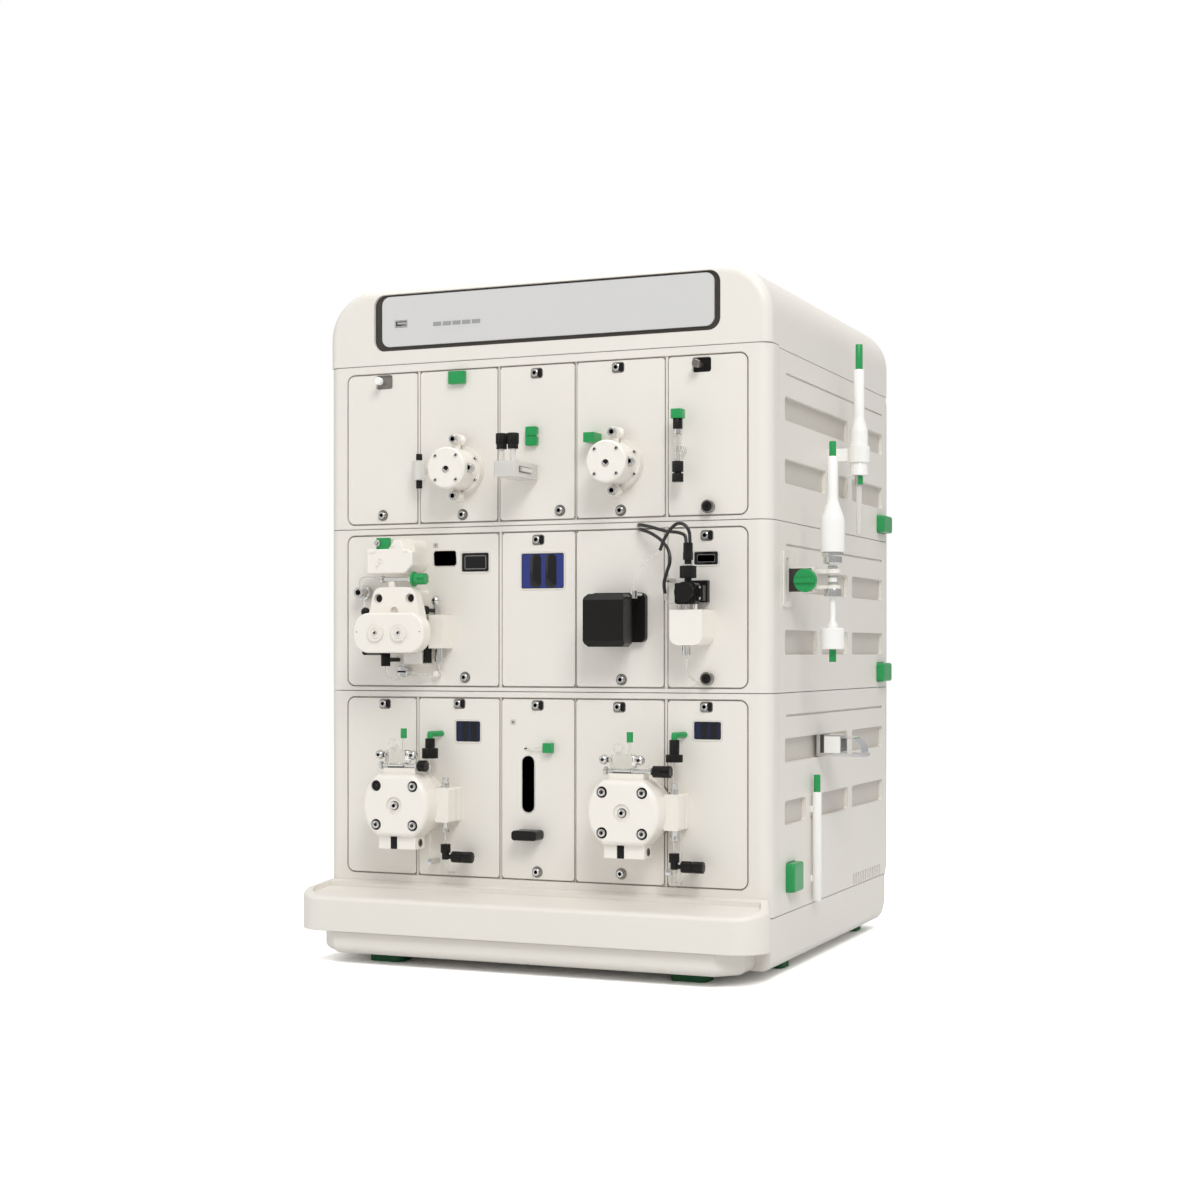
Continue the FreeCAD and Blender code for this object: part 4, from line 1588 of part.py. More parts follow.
def signal_leads():
    """The black leads of the flow cell."""
    plug_top = STACK_NECK_TOP
    routes = [
        (at(97.0, 0, 345.0), at(101.0, 8, 345.2), at(114.0, 14, 342.5), at(129.0, 17, 338.0), at(143.0, 20, 336.5),
         at(150.5, 24, 333.5), at(STACK_X - 1.8, 26, plug_top)),
        (at(98.0, 0, 341.2), at(102.0, 7, 340.6), at(113.0, 13, 337.5), at(125.0, 18, 331.0), at(134.0, 22, 322.0),
         at(136.5, 24, 311.0), at(133.0, 25, 301.0), at(130.2, 24.4, 292.0), LEAD_END),
        (LEAD_MEET, at(132.5, 30, 330.0), at(138.5, 30, 339.0), at(144.5, 29, 344.2), at(151.0, 28.5, 343.2),
         at(155.6, 28, 337.0), at(STACK_X + 1.8, 26, plug_top)),
    ]
    return [tube(route, LEAD_DIAMETER) for route in routes]


NODES = {}
FILED = []


def keep(name, solids):
    """Files the solids of one node, moved to the origin under the whole object."""
    if not isinstance(solids, list):
        solids = [solids]
    FILED.extend(solids)
    shape = solids[0] if len(solids) == 1 else Part.makeCompound(solids)
    moved = shape.copy()
    moved.translate(vec(SHIFT_X, SHIFT_Y, SHIFT_Z))
    NODES[name] = moved


def main():
    latches = (UPPER_LATCH, MIDDLE_LATCH, LOWER_LATCH)
    upper = tier_housing(MIDDLE_TOP, UPPER_TOP, ROW_TWO_RIBS[0])
    middle = tier_housing(LOWER_TOP, MIDDLE_TOP, ROW_TWO_RIBS[1])
    lower = side_vent(tier_housing(0.0, LOWER_TOP, ROW_TWO_RIBS[2]))
    keep("upper_housing", latch_seats(upper, latches[:1]))
    keep("middle_housing", [latch_seats(middle, latches[1:2]), clamp_slot_plate()])
    keep("lower_housing", latch_seats(lower, latches[2:]))
    keep("upper_bezel", tier_bezel(MIDDLE_TOP, UPPER_TOP + HEAD_SEAM_RISE, UPPER_BAYS, UPPER_BAY_BOTTOM,
                                    UPPER_BAY_TOP))
    keep("middle_bezel", tier_bezel(LOWER_TOP, MIDDLE_TOP, MIDDLE_BAYS, MIDDLE_BAY_BOTTOM, MIDDLE_BAY_TOP))
    frame = tier_bezel(0.0, LOWER_TOP, LOWER_BAYS, LOWER_BAY_BOTTOM, LOWER_BAY_TOP)
    for x in PUMP_X:
        frame = frame.cut(motor_space(x))
    keep("lower_bezel", frame)
    keep("base_pan", base_pan())
    keep("drip_tray", drip_tray())
    keep("feet", feet())
    keep("head_cover", head_cover())
    keep("display_surround", display_surround())
    keep("display_strip", display_strip())
    keep("status_lights", status_lights())
    keep("usb_port", usb_port())
    keep("rear_panel", [rear_panel(), switch_frame()])
    keep("power_inlet", power_inlet())
    keep("power_switch", power_switch())
    keep("data_ports", data_ports())
    keep("fan_guard", fan_guard())
    keep("fan_rotor", fan_rotor())
    for name, place in zip(("upper_latch", "middle_latch", "lower_latch"), latches):
        keep(name, latch(*place))
    pockets = [latch_pocket(x, z) for x, z in (PALE_KNOB, CAPTIVE_KNOBS[0][:2])]
    keep("upper_modules", carved(module_panels(UPPER_BAYS, UPPER_BAY_BOTTOM, UPPER_BAY_TOP), pockets))
    pockets = [window_pocket(place) for place in MIDDLE_WINDOWS]
    keep("middle_modules", carved(module_panels(MIDDLE_BAYS, MIDDLE_BAY_BOTTOM, MIDDLE_BAY_TOP), pockets))
    pockets = [window_pocket(place) for place in LOWER_WINDOWS]
    pockets.extend(rod_y(x, PUMP_Z, PUMP_BORE_RADIUS + PUMP_SHAFT_GAP, FRONT_Y - 1, 0) for x in PUMP_X)
    x0, x1, z0, z1 = STADIUM
    pockets.append(round_block(x0, x1, FRONT_Y - 1, FRONT_Y + STADIUM_DEPTH, z0, z1, (x1 - x0) / 2 - 0.01))
    keep("lower_modules", carved(module_panels(LOWER_BAYS, LOWER_BAY_BOTTOM, LOWER_BAY_TOP), pockets))
    keep("panel_windows", [window_insert(place) for place in MIDDLE_WINDOWS + LOWER_WINDOWS])
    screws = [screw_head(x, z, SCREW_RADIUS, 0, SCREW_HEIGHT) for x, z in PANEL_SCREWS]
    for x in VALVE_X:
        for side in (-1, 1):
            screws.extend(screw_head(x + side * VALVE_SCREW_X, VALVE_Z + level * VALVE_SCREW_Z, SCREW_RADIUS,
                                     VALVE_FRONT, SCREW_HEIGHT / 2) for level in (-1, 1))
    for x in PUMP_X:
        for side in (-1, 1):
            screws.extend(screw_head(x + side * PUMP_SCREW_X, PUMP_Z + level * PUMP_SCREW_Z, PUMP_SCREW_RADIUS,
                                     PUMP_FRONT - PUMP_DISH_DEPTH, SCREW_HEIGHT) for level in (-1, 1))
        screws.append(screw_head(x, PUMP_Z, PUMP_SCREW_RADIUS, PUMP_FRONT - PUMP_DISH_DEPTH, SCREW_HEIGHT))
    keep("socket_screws", screws)
    keep("valve_rings", [valve_ring(x) for x in VALVE_X])
    keep("valve_heads", [valve_head(x) for x in VALVE_X])
    keep("nut_arm", nut_arm())
    keep("rocker_clip", rocker_clip())
    keep("inline_cell", inline_cell())
    keep("glass_cell", glass_cell())
    keep("mixer_housing", mixer_housing())
    keep("sample_pump_arch", [sample_pump_arch()] + sample_base())
    keep("sample_pump_head", sample_pump_head())
    keep("detector_box", detector_box())
    keep("flow_cell", flow_cell())
    keep("cell_block", cell_block())
    for name, x in zip(("pump_head_a", "pump_head_b"), PUMP_X):
        keep(name, pump_head(x))
    keep("pump_side_blocks", [side_block(x) for x in PUMP_X])
    keep("pump_manifolds", [pump_manifold(index) for index in range(len(PUMP_X))])
    keep("pump_motors", [pump_motor(x) for x in PUMP_X])
    keep("sample_purge_knob", purge_knob(SAMPLE_BAR, SAMPLE_FLANGE_RADIUS))
    for index, name in enumerate(("purge_knob_a", "purge_knob_b")):
        keep(name, purge_knob(pump_bar(index), 0))
    keep("handle_bar", handle_bar())
    keep("steel_fittings", steel_group())
    keep("black_fittings", black_group())
    keep("green_plugs", green_group())
    keep("column_one", column_one())
    keep("column_two", turned(COLUMN_TWO_X, COLUMN_TWO_Y, COLUMN_TWO_PROFILE))
    keep("column_three", column_three())
    keep("column_clamp", column_clamp())
    keep("clamp_knob", clamp_knob())
    keep("hook_bracket", hook_bracket())
    keep("clear_tubes", trimmed(clear_tubes()))
    keep("signal_leads", trimmed(signal_leads()))


main()
os.makedirs("parts", exist_ok=True)
for node_name, node_shape in NODES.items():
    node_shape.exportStep("parts/" + node_name + ".step")
    if not node_shape.isValid():
        print("not valid:", node_name)
print(len(NODES), "nodes")
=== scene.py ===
"""Looks of a bench liquid chromatography instrument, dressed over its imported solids.

Lengths are in millimetres from the instrument's own datum: x from the middle of the chassis, h out of the
module panels towards the viewer, z from the foot of the lower tier. The datum is read from the frame.
"""
from __future__ import annotations

import logging
import math
from dataclasses import dataclass
from enum import Enum

import bmesh
import bpy
from mathutils import Matrix, Vector

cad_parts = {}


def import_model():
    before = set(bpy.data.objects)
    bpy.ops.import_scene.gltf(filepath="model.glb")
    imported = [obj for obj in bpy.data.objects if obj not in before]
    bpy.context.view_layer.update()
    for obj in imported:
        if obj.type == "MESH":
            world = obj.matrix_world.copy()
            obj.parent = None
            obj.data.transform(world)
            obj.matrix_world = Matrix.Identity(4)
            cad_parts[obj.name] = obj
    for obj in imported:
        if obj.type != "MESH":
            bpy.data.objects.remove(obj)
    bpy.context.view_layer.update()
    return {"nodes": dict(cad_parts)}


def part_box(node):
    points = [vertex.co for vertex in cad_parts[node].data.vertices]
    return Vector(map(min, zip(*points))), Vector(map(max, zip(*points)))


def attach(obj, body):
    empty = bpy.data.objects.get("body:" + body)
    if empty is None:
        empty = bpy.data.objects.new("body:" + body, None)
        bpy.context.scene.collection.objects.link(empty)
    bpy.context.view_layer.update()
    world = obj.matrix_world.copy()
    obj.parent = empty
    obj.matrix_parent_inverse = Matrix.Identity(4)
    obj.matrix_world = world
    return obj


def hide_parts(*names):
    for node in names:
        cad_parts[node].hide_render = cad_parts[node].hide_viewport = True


LOG = logging.getLogger("instrument")
MM = 0.001
DEPTH = 400.0
HALF_WIDTH = 220.0
ROOT_BODY = "instrument"
Colour = tuple[float, float, float]
Place = tuple[float, float, float]
Outline = list[tuple[float, float]]
FLOOR_TONE: Colour = (0.80, 0.80, 0.80)
FLOOR_TONE_SEEN: Colour = (1.75, 1.75, 1.75)


class Axis(Enum):
    """The way a part drawn along +Z points."""

    FRONT = ("X", 90.0)
    BACK = ("X", -90.0)
    RIGHT = ("Y", 90.0)
    LEFT = ("Y", -90.0)
    UP = ("Z", 0.0)

    def turn(self) -> Matrix:
        """The rotation that takes +Z to this axis."""
        name, angle = self.value
        return Matrix.Rotation(math.radians(angle), 4, name)


@dataclass(frozen=True)
class Datum:
    """Where the instrument's own zero lies in the row frame, in metres."""

    x: float
    y: float
    z: float

    @classmethod
    def read(cls) -> "Datum":
        """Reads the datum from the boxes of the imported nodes.

        Returns:
            The datum: the middle of the front frames, their face, and the foot of the lowest.
        """
        low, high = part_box("middle_bezel")
        foot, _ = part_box("lower_bezel")
        return cls((low[0] + high[0]) / 2, low[1], foot[2])

    def matrix(self) -> Matrix:
        """Takes a mesh drawn in millimetres, with -Y towards the viewer, into the row frame."""
        return Matrix.Translation((self.x, self.y, self.z)) @ Matrix.Scale(MM, 4)

    def at(self, x: float, h: float, z: float) -> Vector:
        """A point in front of the panels, in the row frame."""
        return self.matrix() @ Vector((x, -h, z))


def beside(x: float, y: float, z: float) -> Place:
    """A place on the right wall, from its x, its y from the middle of the chassis and its level."""
    return (x, -(y + DEPTH / 2), z)


def rounded(left: float, right: float, low: float, high: float, radius: float, steps: int = 5) -> Outline:
    """The outline of a rectangle with round corners.

    Args:
        left: First side.
        right: Opposite side.
        low: Lower side.
        high: Upper side.
        radius: Radius of the corners.
        steps: Segments in each corner.

    Returns:
        The outline's points, anticlockwise.
    """
    corners = ((right - radius, high - radius, 0), (left + radius, high - radius, 90),
               (left + radius, low + radius, 180), (right - radius, low + radius, 270))
    outline = []
    for x, z, start in corners:
        for step in range(steps + 1):
            angle = math.radians(start + 90 * step / steps)
            outline.append((x + radius * math.cos(angle), z + radius * math.sin(angle)))
    return outline


def star(radius: float, depth: float, ribs: int) -> Outline:
    """The outline of a ribbed grip, deeper than the radius by turns."""
    outline = []
    for step in range(ribs * 4):
        angle = math.tau * step / (ribs * 4)
        reach = radius if step % 4 in (0, 1) else radius - depth
        outline.append((reach * math.cos(angle), reach * math.sin(angle)))
    return outline


class Shape:
    """A mesh put together in millimetres from turned, cut and ribbed parts."""

    def __init__(self) -> None:
        """Starts empty."""
        self.mesh = bmesh.new()

    def add(self, part: bmesh.types.BMesh, place: Place = (0.0, 0.0, 0.0), axis: Axis = Axis.UP) -> None:
        """Turns a part to its axis, moves it to its place and joins it on; the part is freed.

        Args:
            part: A mesh drawn along +Z.
            place: Its x, its height in front of the panels and its level.
            axis: The way that it points.
        """
        x, h, z = place
        bmesh.ops.remove_doubles(part, verts=part.verts, dist=1e-4)
        bmesh.ops.transform(part, matrix=Matrix.Translation((x, -h, z)) @ axis.turn(), verts=part.verts)
        carrier = bpy.data.meshes.new("part")
        part.to_mesh(carrier)
        part.free()
        self.mesh.from_mesh(carrier)
        bpy.data.meshes.remove(carrier)

    def turned(self, profile: Outline, place: Place, axis: Axis = Axis.FRONT, steps: int = 40) -> None:
        """Spins radius and length pairs round an axis.

        Args:
            profile: Radius and distance along the axis, pair by pair.
            place: Where the axis starts.
            axis: The way that it points.
            steps: Segments round the axis.
        """
        part = bmesh.new()
        points = [part.verts.new((radius, 0.0, level)) for radius, level in profile]
        chain = [part.edges.new(pair) for pair in zip(points, points[1:])]
        bmesh.ops.spin(part, geom=points + chain, cent=(0, 0, 0), axis=(0, 0, 1), angle=math.tau, steps=steps,
                       use_merge=True)
        self.add(part, place, axis)

    def rod(self, radius: float, length: float, place: Place, axis: Axis = Axis.FRONT,
            edge: float = 0.25) -> None:
        """A round rod with chamfered rims and closed ends."""
        self.turned([(0, 0), (radius - edge, 0), (radius, edge), (radius, length - edge),
                     (radius - edge, length), (0, length)], place, axis)

    def washer(self, outer: float, inner: float, height: float, place: Place,
               axis: Axis = Axis.FRONT) -> None:
        """A ring with softened rims."""
        edge = min(height, outer - inner) / 3
        self.turned([(inner, 0), (outer, 0), (outer, height - edge), (outer - edge, height),
                     (inner + edge, height), (inner, height - edge), (inner, 0)], place, axis)

    def prism(self, outline: Outline, length: float, place: Place = (0.0, 0.0, 0.0), axis: Axis = Axis.FRONT,
              edge: float = 0.0) -> None:
        """Extrudes an outline and softens the rim of its far end.

        Args:
            outline: Points of the outline, drawn flat.
            length: How far it is extruded.
            place: Where the outline's own zero goes.
            axis: The way that it is extruded.
            edge: Width of the softened rim.
        """
        part = bmesh.new()
        face = part.faces.new([part.verts.new((across, along, 0.0)) for across, along in outline])
        grown = bmesh.ops.extrude_face_region(part, geom=[face])
        top = {item for item in grown["geom"] if isinstance(item, bmesh.types.BMVert)}
        bmesh.ops.translate(part, verts=list(top), vec=(0.0, 0.0, length))
        if edge:
            rim = [line for line in part.edges if line.verts[0] in top and line.verts[1] in top]
            bmesh.ops.bevel(part, geom=rim, offset=edge, segments=2, profile=0.5, affect="EDGES", material=-1)
        self.add(part, place, axis)

    def plate(self, left: float, right: float, low: float, high: float, back: float, front: float,
              radius: float = 1.0, edge: float = 0.3) -> None:
        """A plate with round corners that faces the viewer, from the height back to the height front."""
        self.prism(rounded(left, right, low, high, radius), front - back, (0.0, back, 0.0), Axis.FRONT, edge)

    def side_plate(self, y0: float, y1: float, low: float, high: float, x: float, thickness: float,
                   radius: float = 1.0, edge: float = 0.3) -> None:
        """A plate with round corners on the right wall; y counts from the middle of the chassis."""
        outline = rounded(-high, -low, y0, y1, radius)
        self.prism(outline, thickness, beside(x, 0.0, 0.0), Axis.RIGHT, edge)

    def frame(self, left: float, right: float, low: float, high: float, width: float, back: float,
              rise: float, radius: float) -> None:
        """A thin raised lip round a rectangle with round corners.

        Args:
            left: Inner left side.
            right: Inner right side.
            low: Inner lower side.
            high: Inner upper side.
            width: Width of the lip.
            back: Height that it stands on.
            rise: How far it stands up.
            radius: Inner radius of the corners.
        """
        part = bmesh.new()
        rings = []
        section = ((0.0, 0.0), (0.0, rise * 0.6), (width * 0.3, rise), (width * 0.7, rise), (width, 0.0))
        for grow, lift in section:
            loop = rounded(left - grow, right + grow, low - grow, high + grow, radius + grow)
            verts = [part.verts.new((x, z, lift)) for x, z in loop]
            rings.append([part.edges.new(pair) for pair in zip(verts, verts[1:] + verts[:1])])
        for inner, outer in zip(rings, rings[1:] + rings[:1]):
            bmesh.ops.bridge_loops(part, edges=inner + outer)
        self.add(part, (0.0, back, 0.0), Axis.FRONT)

    def screw(self, radius: float, height: float, place: Place, axis: Axis = Axis.FRONT) -> None:
        """A cap screw head with a rolled rim and a six-sided socket.

        Args:
            radius: Radius of the head.
            height: Height of the head.
            place: The middle of its seat.
            axis: The way that it faces.
        """
        part = bmesh.new()
        levels = ((32, 1.0, 0.0), (32, 1.0, 0.7), (32, 0.94, 0.92), (32, 0.84, 1.0), (6, 0.56, 1.0),
                  (6, 0.52, 0.3))
        rings = []
        for count, share, level in levels:
            made = bmesh.ops.create_circle(part, cap_ends=False, segments=count, radius=radius * share,
                                           matrix=Matrix.Translation((0.0, 0.0, height * level)))
            rings.append(list({line for vert in made["verts"] for line in vert.link_edges}))
        for low, high in zip(rings, rings[1:]):
            bmesh.ops.bridge_loops(part, edges=low + high)
        bmesh.ops.contextual_create(part, geom=rings[-1])
        self.add(part, place, axis)

    def ball(self, radius: float, place: Place) -> None:
        """A ball, spun from half a circle."""
        arc = [(radius * math.sin(math.pi * step / 14), -radius * math.cos(math.pi * step / 14))
               for step in range(15)]
        arc[0] = (0.0, -radius)
        arc[-1] = (0.0, radius)
        self.turned(arc, place, Axis.UP, 28)

    def grip(self, radius: float, depth: float, ribs: int, length: float, place: Place, axis: Axis,
             edge: float = 0.5) -> None:
        """A ribbed sleeve."""
        self.prism(star(radius, depth, ribs), length, place, axis, edge)


class Wires:
    """Short forms for building a node tree."""

    def __init__(self, tree: bpy.types.NodeTree) -> None:
        """Keeps the tree that nodes are added to."""
        self.tree = tree

    def add(self, kind: str, **values: object) -> bpy.types.Node:
        """Adds a node and sets its properties by name."""
        node = self.tree.nodes.new(kind)
        for name, value in values.items():
            setattr(node, name, value)
        return node

    def link(self, source: bpy.types.NodeSocket, target: bpy.types.NodeSocket) -> None:
        """Joins two sockets."""
        self.tree.links.new(source, target)


def new_group(name: str, inputs: dict[str, float],
              outputs: dict[str, str]) -> tuple[bpy.types.NodeTree, Wires]:
    """Starts a shader node group with a vector input and float inputs.

    Args:
        name: The group's name.
        inputs: Float inputs and their defaults.
        outputs: Output names and their socket kinds.

    Returns:
        The group and the helper that builds in it.
    """
    group = bpy.data.node_groups.new(name, "ShaderNodeTree")
    group.interface.new_socket(name="Vector", in_out="INPUT", socket_type="NodeSocketVector")
    for label, value in inputs.items():
        socket = group.interface.new_socket(name=label, in_out="INPUT", socket_type="NodeSocketFloat")
        socket.default_value = value
    for label, kind in outputs.items():
        group.interface.new_socket(name=label, in_out="OUTPUT", socket_type=kind)
    return group, Wires(group)


def grain_group(name: str, grain: float, patch: float, detail: float, mottle: dict[str, float],
                stretch: Place | None = None) -> bpy.types.NodeTree:
    """A fine relief with a slow mottle: a moulded skin, or machining lines where it is stretched.

    Args:
        name: The group's name.
        grain: Default scale of the relief.
        patch: Default scale of the mottle.
        detail: Detail of the relief's noise.
        mottle: Values for the mottle's noise, by socket.
        stretch: Scale of the relief along each axis, if it isn't even.

    Returns:
        A group with the outputs Height and Mottle.
    """
    group, wires = new_group(name, {"Grain": grain, "Patch": patch},
                             {"Height": "NodeSocketFloat", "Mottle": "NodeSocketFloat"})
    entry = wires.add("NodeGroupInput")
    leave = wires.add("NodeGroupOutput")
    fine = wires.add("ShaderNodeTexNoise")
    fine.inputs["Detail"].default_value = detail
    slow = wires.add("ShaderNodeTexNoise")
    for label, value in mottle.items():
        slow.inputs[label].default_value = value
    source = entry.outputs["Vector"]
    wires.link(source, slow.inputs["Vector"])
    if stretch:
        mapping = wires.add("ShaderNodeMapping")
        mapping.inputs["Scale"].default_value = stretch
        wires.link(source, mapping.inputs["Vector"])
        source = mapping.outputs["Vector"]
    wires.link(source, fine.inputs["Vector"])
    wires.link(entry.outputs["Grain"], fine.inputs["Scale"])
    wires.link(entry.outputs["Patch"], slow.inputs["Scale"])
    wires.link(fine.outputs["Fac"], leave.inputs["Height"])
    wires.link(slow.outputs["Fac"], leave.inputs["Mottle"])
    return group


@dataclass(frozen=True)
class Finish:
    """One surface finish of the instrument."""

    name: str
    slot: str
    colour: Colour
    shade: Colour
    roughness: float
    spread: float = 0.06
    metallic: float = 0.0
    transmission: float = 0.0
    ior: float = 1.5
    grain: float = 900.0
    patch: float = 14.0
    relief: float = 0.04
    brushed: bool = False
    edge: float = 0.0
    coat: float = 0.0

    def build(self, groups: dict[bool, bpy.types.NodeTree]) -> bpy.types.Material:
        """Makes the material of this finish.

        Args:
            groups: The grain group for moulded pieces under False and for machined ones under True.

        Returns:
            The new material.
        """
        material = bpy.data.materials.new(self.name)
        material.use_nodes = True
        wires = Wires(material.node_tree)
        shader = material.node_tree.nodes["Principled BSDF"]
        shader.inputs["Metallic"].default_value = self.metallic
        shader.inputs["IOR"].default_value = self.ior
        shader.inputs["Transmission Weight"].default_value = self.transmission
        shader.inputs["Coat Weight"].default_value = self.coat
        shader.inputs["Coat Roughness"].default_value = 0.12
        place = wires.add("ShaderNodeTexCoord")
        skin = wires.add("ShaderNodeGroup", node_tree=groups[self.brushed])
        skin.inputs["Grain"].default_value = self.grain
        skin.inputs["Patch"].default_value = self.patch
        wires.link(place.outputs["Object"], skin.inputs["Vector"])
        blend = wires.add("ShaderNodeMix", data_type="RGBA")
        blend.inputs["A"].default_value = (*self.colour, 1.0)
        blend.inputs["B"].default_value = (*self.shade, 1.0)
        wires.link(skin.outputs["Mottle"], blend.inputs["Factor"])
        wires.link(blend.outputs["Result"], shader.inputs["Base Color"])
        gloss = wires.add("ShaderNodeMapRange")
        gloss.inputs["To Min"].default_value = self.roughness - self.spread
        gloss.inputs["To Max"].default_value = self.roughness + self.spread
        wires.link(skin.outputs["Mottle"], gloss.inputs["Value"])
        wires.link(gloss.outputs["Result"], shader.inputs["Roughness"])
        bump = wires.add("ShaderNodeBump")
        bump.inputs["Strength"].default_value = self.relief
        bump.inputs["Distance"].default_value = 0.0004
        wires.link(skin.outputs["Height"], bump.inputs["Height"])
        if self.edge:
            soften = wires.add("ShaderNodeBevel", samples=3)
            soften.inputs["Radius"].default_value = self.edge * MM
            wires.link(soften.outputs["Normal"], bump.inputs["Normal"])
        wires.link(bump.outputs["Normal"], shader.inputs["Normal"])
        return material


class Palette:
    """Every finish on the instrument, built once."""

    HOUSING = Finish("housing_cream", "cream", (0.80, 0.765, 0.705), (0.78, 0.745, 0.685), 0.40, edge=1.2)
    PANEL = Finish("module_face", "warm_white", (0.81, 0.775, 0.715), (0.79, 0.755, 0.695), 0.38, edge=0.8)
    # Darker cream for the floors of the side-wall windows: painted shade of the shallow recesses.
    RECESS_SHADE = Finish("window_floor_shade", "cream", (0.60, 0.565, 0.51), (0.57, 0.535, 0.48), 0.45)
    WARM = Finish("pump_white", "warm_white", (0.87, 0.83, 0.765), (0.85, 0.81, 0.74), 0.30, edge=0.6,
                  coat=0.2)
    SILVER = Finish("display_silver", "silver", (0.69, 0.685, 0.675), (0.66, 0.655, 0.645), 0.40,
                    metallic=0.2, edge=0.7)
    # Near black: the display surround's own dark colour together with the painted shade of the gap round the
    # strip; on the clamp's slot it is painted shade.
    DARK = Finish("dark_surround_and_gap_shade", "dark", (0.045, 0.038, 0.031), (0.036, 0.030, 0.025), 0.45)
    # Dark steel; on the screw seats it paints the shade of screw pockets the panel does not have, and round
    # each pump's centre screw it is painted shade.
    SEAT = Finish("dark_steel_and_pocket_shade", "steel", (0.20, 0.185, 0.165), (0.30, 0.28, 0.25), 0.28, metallic=0.8,
                  relief=0.1, brushed=True)
    BROWN = Finish("pocket_floor", "dark", (0.17, 0.155, 0.14), (0.22, 0.20, 0.18), 0.4)
    STEEL = Finish("machined_steel", "steel", (0.76, 0.755, 0.74), (0.64, 0.635, 0.62), 0.20, metallic=1.0,
                   grain=700.0, relief=0.12, brushed=True)
    CHROME = Finish("chrome_strap", "steel", (0.84, 0.84, 0.84), (0.78, 0.78, 0.79), 0.08, 0.03, metallic=1.0,
                    brushed=True)
    BLACK = Finish("black_polymer", "black_plastic", (0.008, 0.0075, 0.007), (0.013, 0.012, 0.011), 0.30,
                   ior=1.3, edge=0.5)
    GREEN = Finish("green_polymer", "green_plastic", (0.015, 0.34, 0.09), (0.011, 0.27, 0.07), 0.28, edge=0.4)
    FOOT = Finish("foot_rubber", "rubber_foot", (0.010, 0.15, 0.045), (0.008, 0.11, 0.035), 0.6)
    CLEAR = Finish("clear_polymer", "clear", (0.90, 0.90, 0.87), (0.86, 0.86, 0.83), 0.08, 0.04,
                   transmission=0.9, ior=1.45)
    MILK = Finish("frosted_polymer", "clear", (0.88, 0.86, 0.82), (0.84, 0.82, 0.78), 0.25, transmission=0.35,
                  ior=1.45)
    COLUMN = Finish("column_white", "column", (0.91, 0.90, 0.87), (0.88, 0.87, 0.83), 0.24, coat=0.3)
    WINDOW = Finish("window_dark", "window", (0.004, 0.004, 0.005), (0.007, 0.007, 0.009), 0.12)
    NAVY = Finish("window_navy", "window", (0.030, 0.045, 0.22), (0.022, 0.034, 0.17), 0.16)
    DEEP = Finish("window_deep_blue", "window", (0.006, 0.012, 0.055), (0.004, 0.009, 0.040), 0.16)
    SAGE = Finish("level_window", "window", (0.36, 0.385, 0.335), (0.31, 0.335, 0.29), 0.14)
    LENS = Finish("lamp_lens", "light_lens", (0.36, 0.36, 0.36), (0.32, 0.32, 0.32), 0.2)
    MARK = Finish("printed_grey", "light_lens", (0.56, 0.54, 0.50), (0.50, 0.48, 0.45), 0.35)
    REAR = Finish("rear_paint", "rear_paint", (0.72, 0.70, 0.65), (0.69, 0.67, 0.62), 0.5, edge=0.8)
    LEAD = Finish("lead_jacket", "black_lead", (0.012, 0.011, 0.011), (0.018, 0.017, 0.016), 0.3)

    def __init__(self) -> None:
        """Builds the shared groups; materials are made when first asked for."""
        moulded = grain_group("moulded_grain", 900.0, 14.0, 3.0, {"Detail": 4.0, "Roughness": 0.6})
        machined = grain_group("turned_lines", 500.0, 30.0, 2.0, {}, (0.05, 1.0, 1.0))
        self.groups = {False: moulded, True: machined}
        self.made: dict[str, bpy.types.Material] = {}

    def material(self, finish: Finish) -> bpy.types.Material:
        """The material of a finish, made once."""
        if finish.name not in self.made:
            self.made[finish.name] = finish.build(self.groups)
        return self.made[finish.name]


@dataclass(frozen=True)
class Lens:
    """The camera of the photograph, from the instrument's datum."""

    x: float = 746.1
    h: float = 1644.7
    z: float = 230.6
    azimuth: float = 22.65
    focal: float = 59.49
    shift_y: float = 0.0447


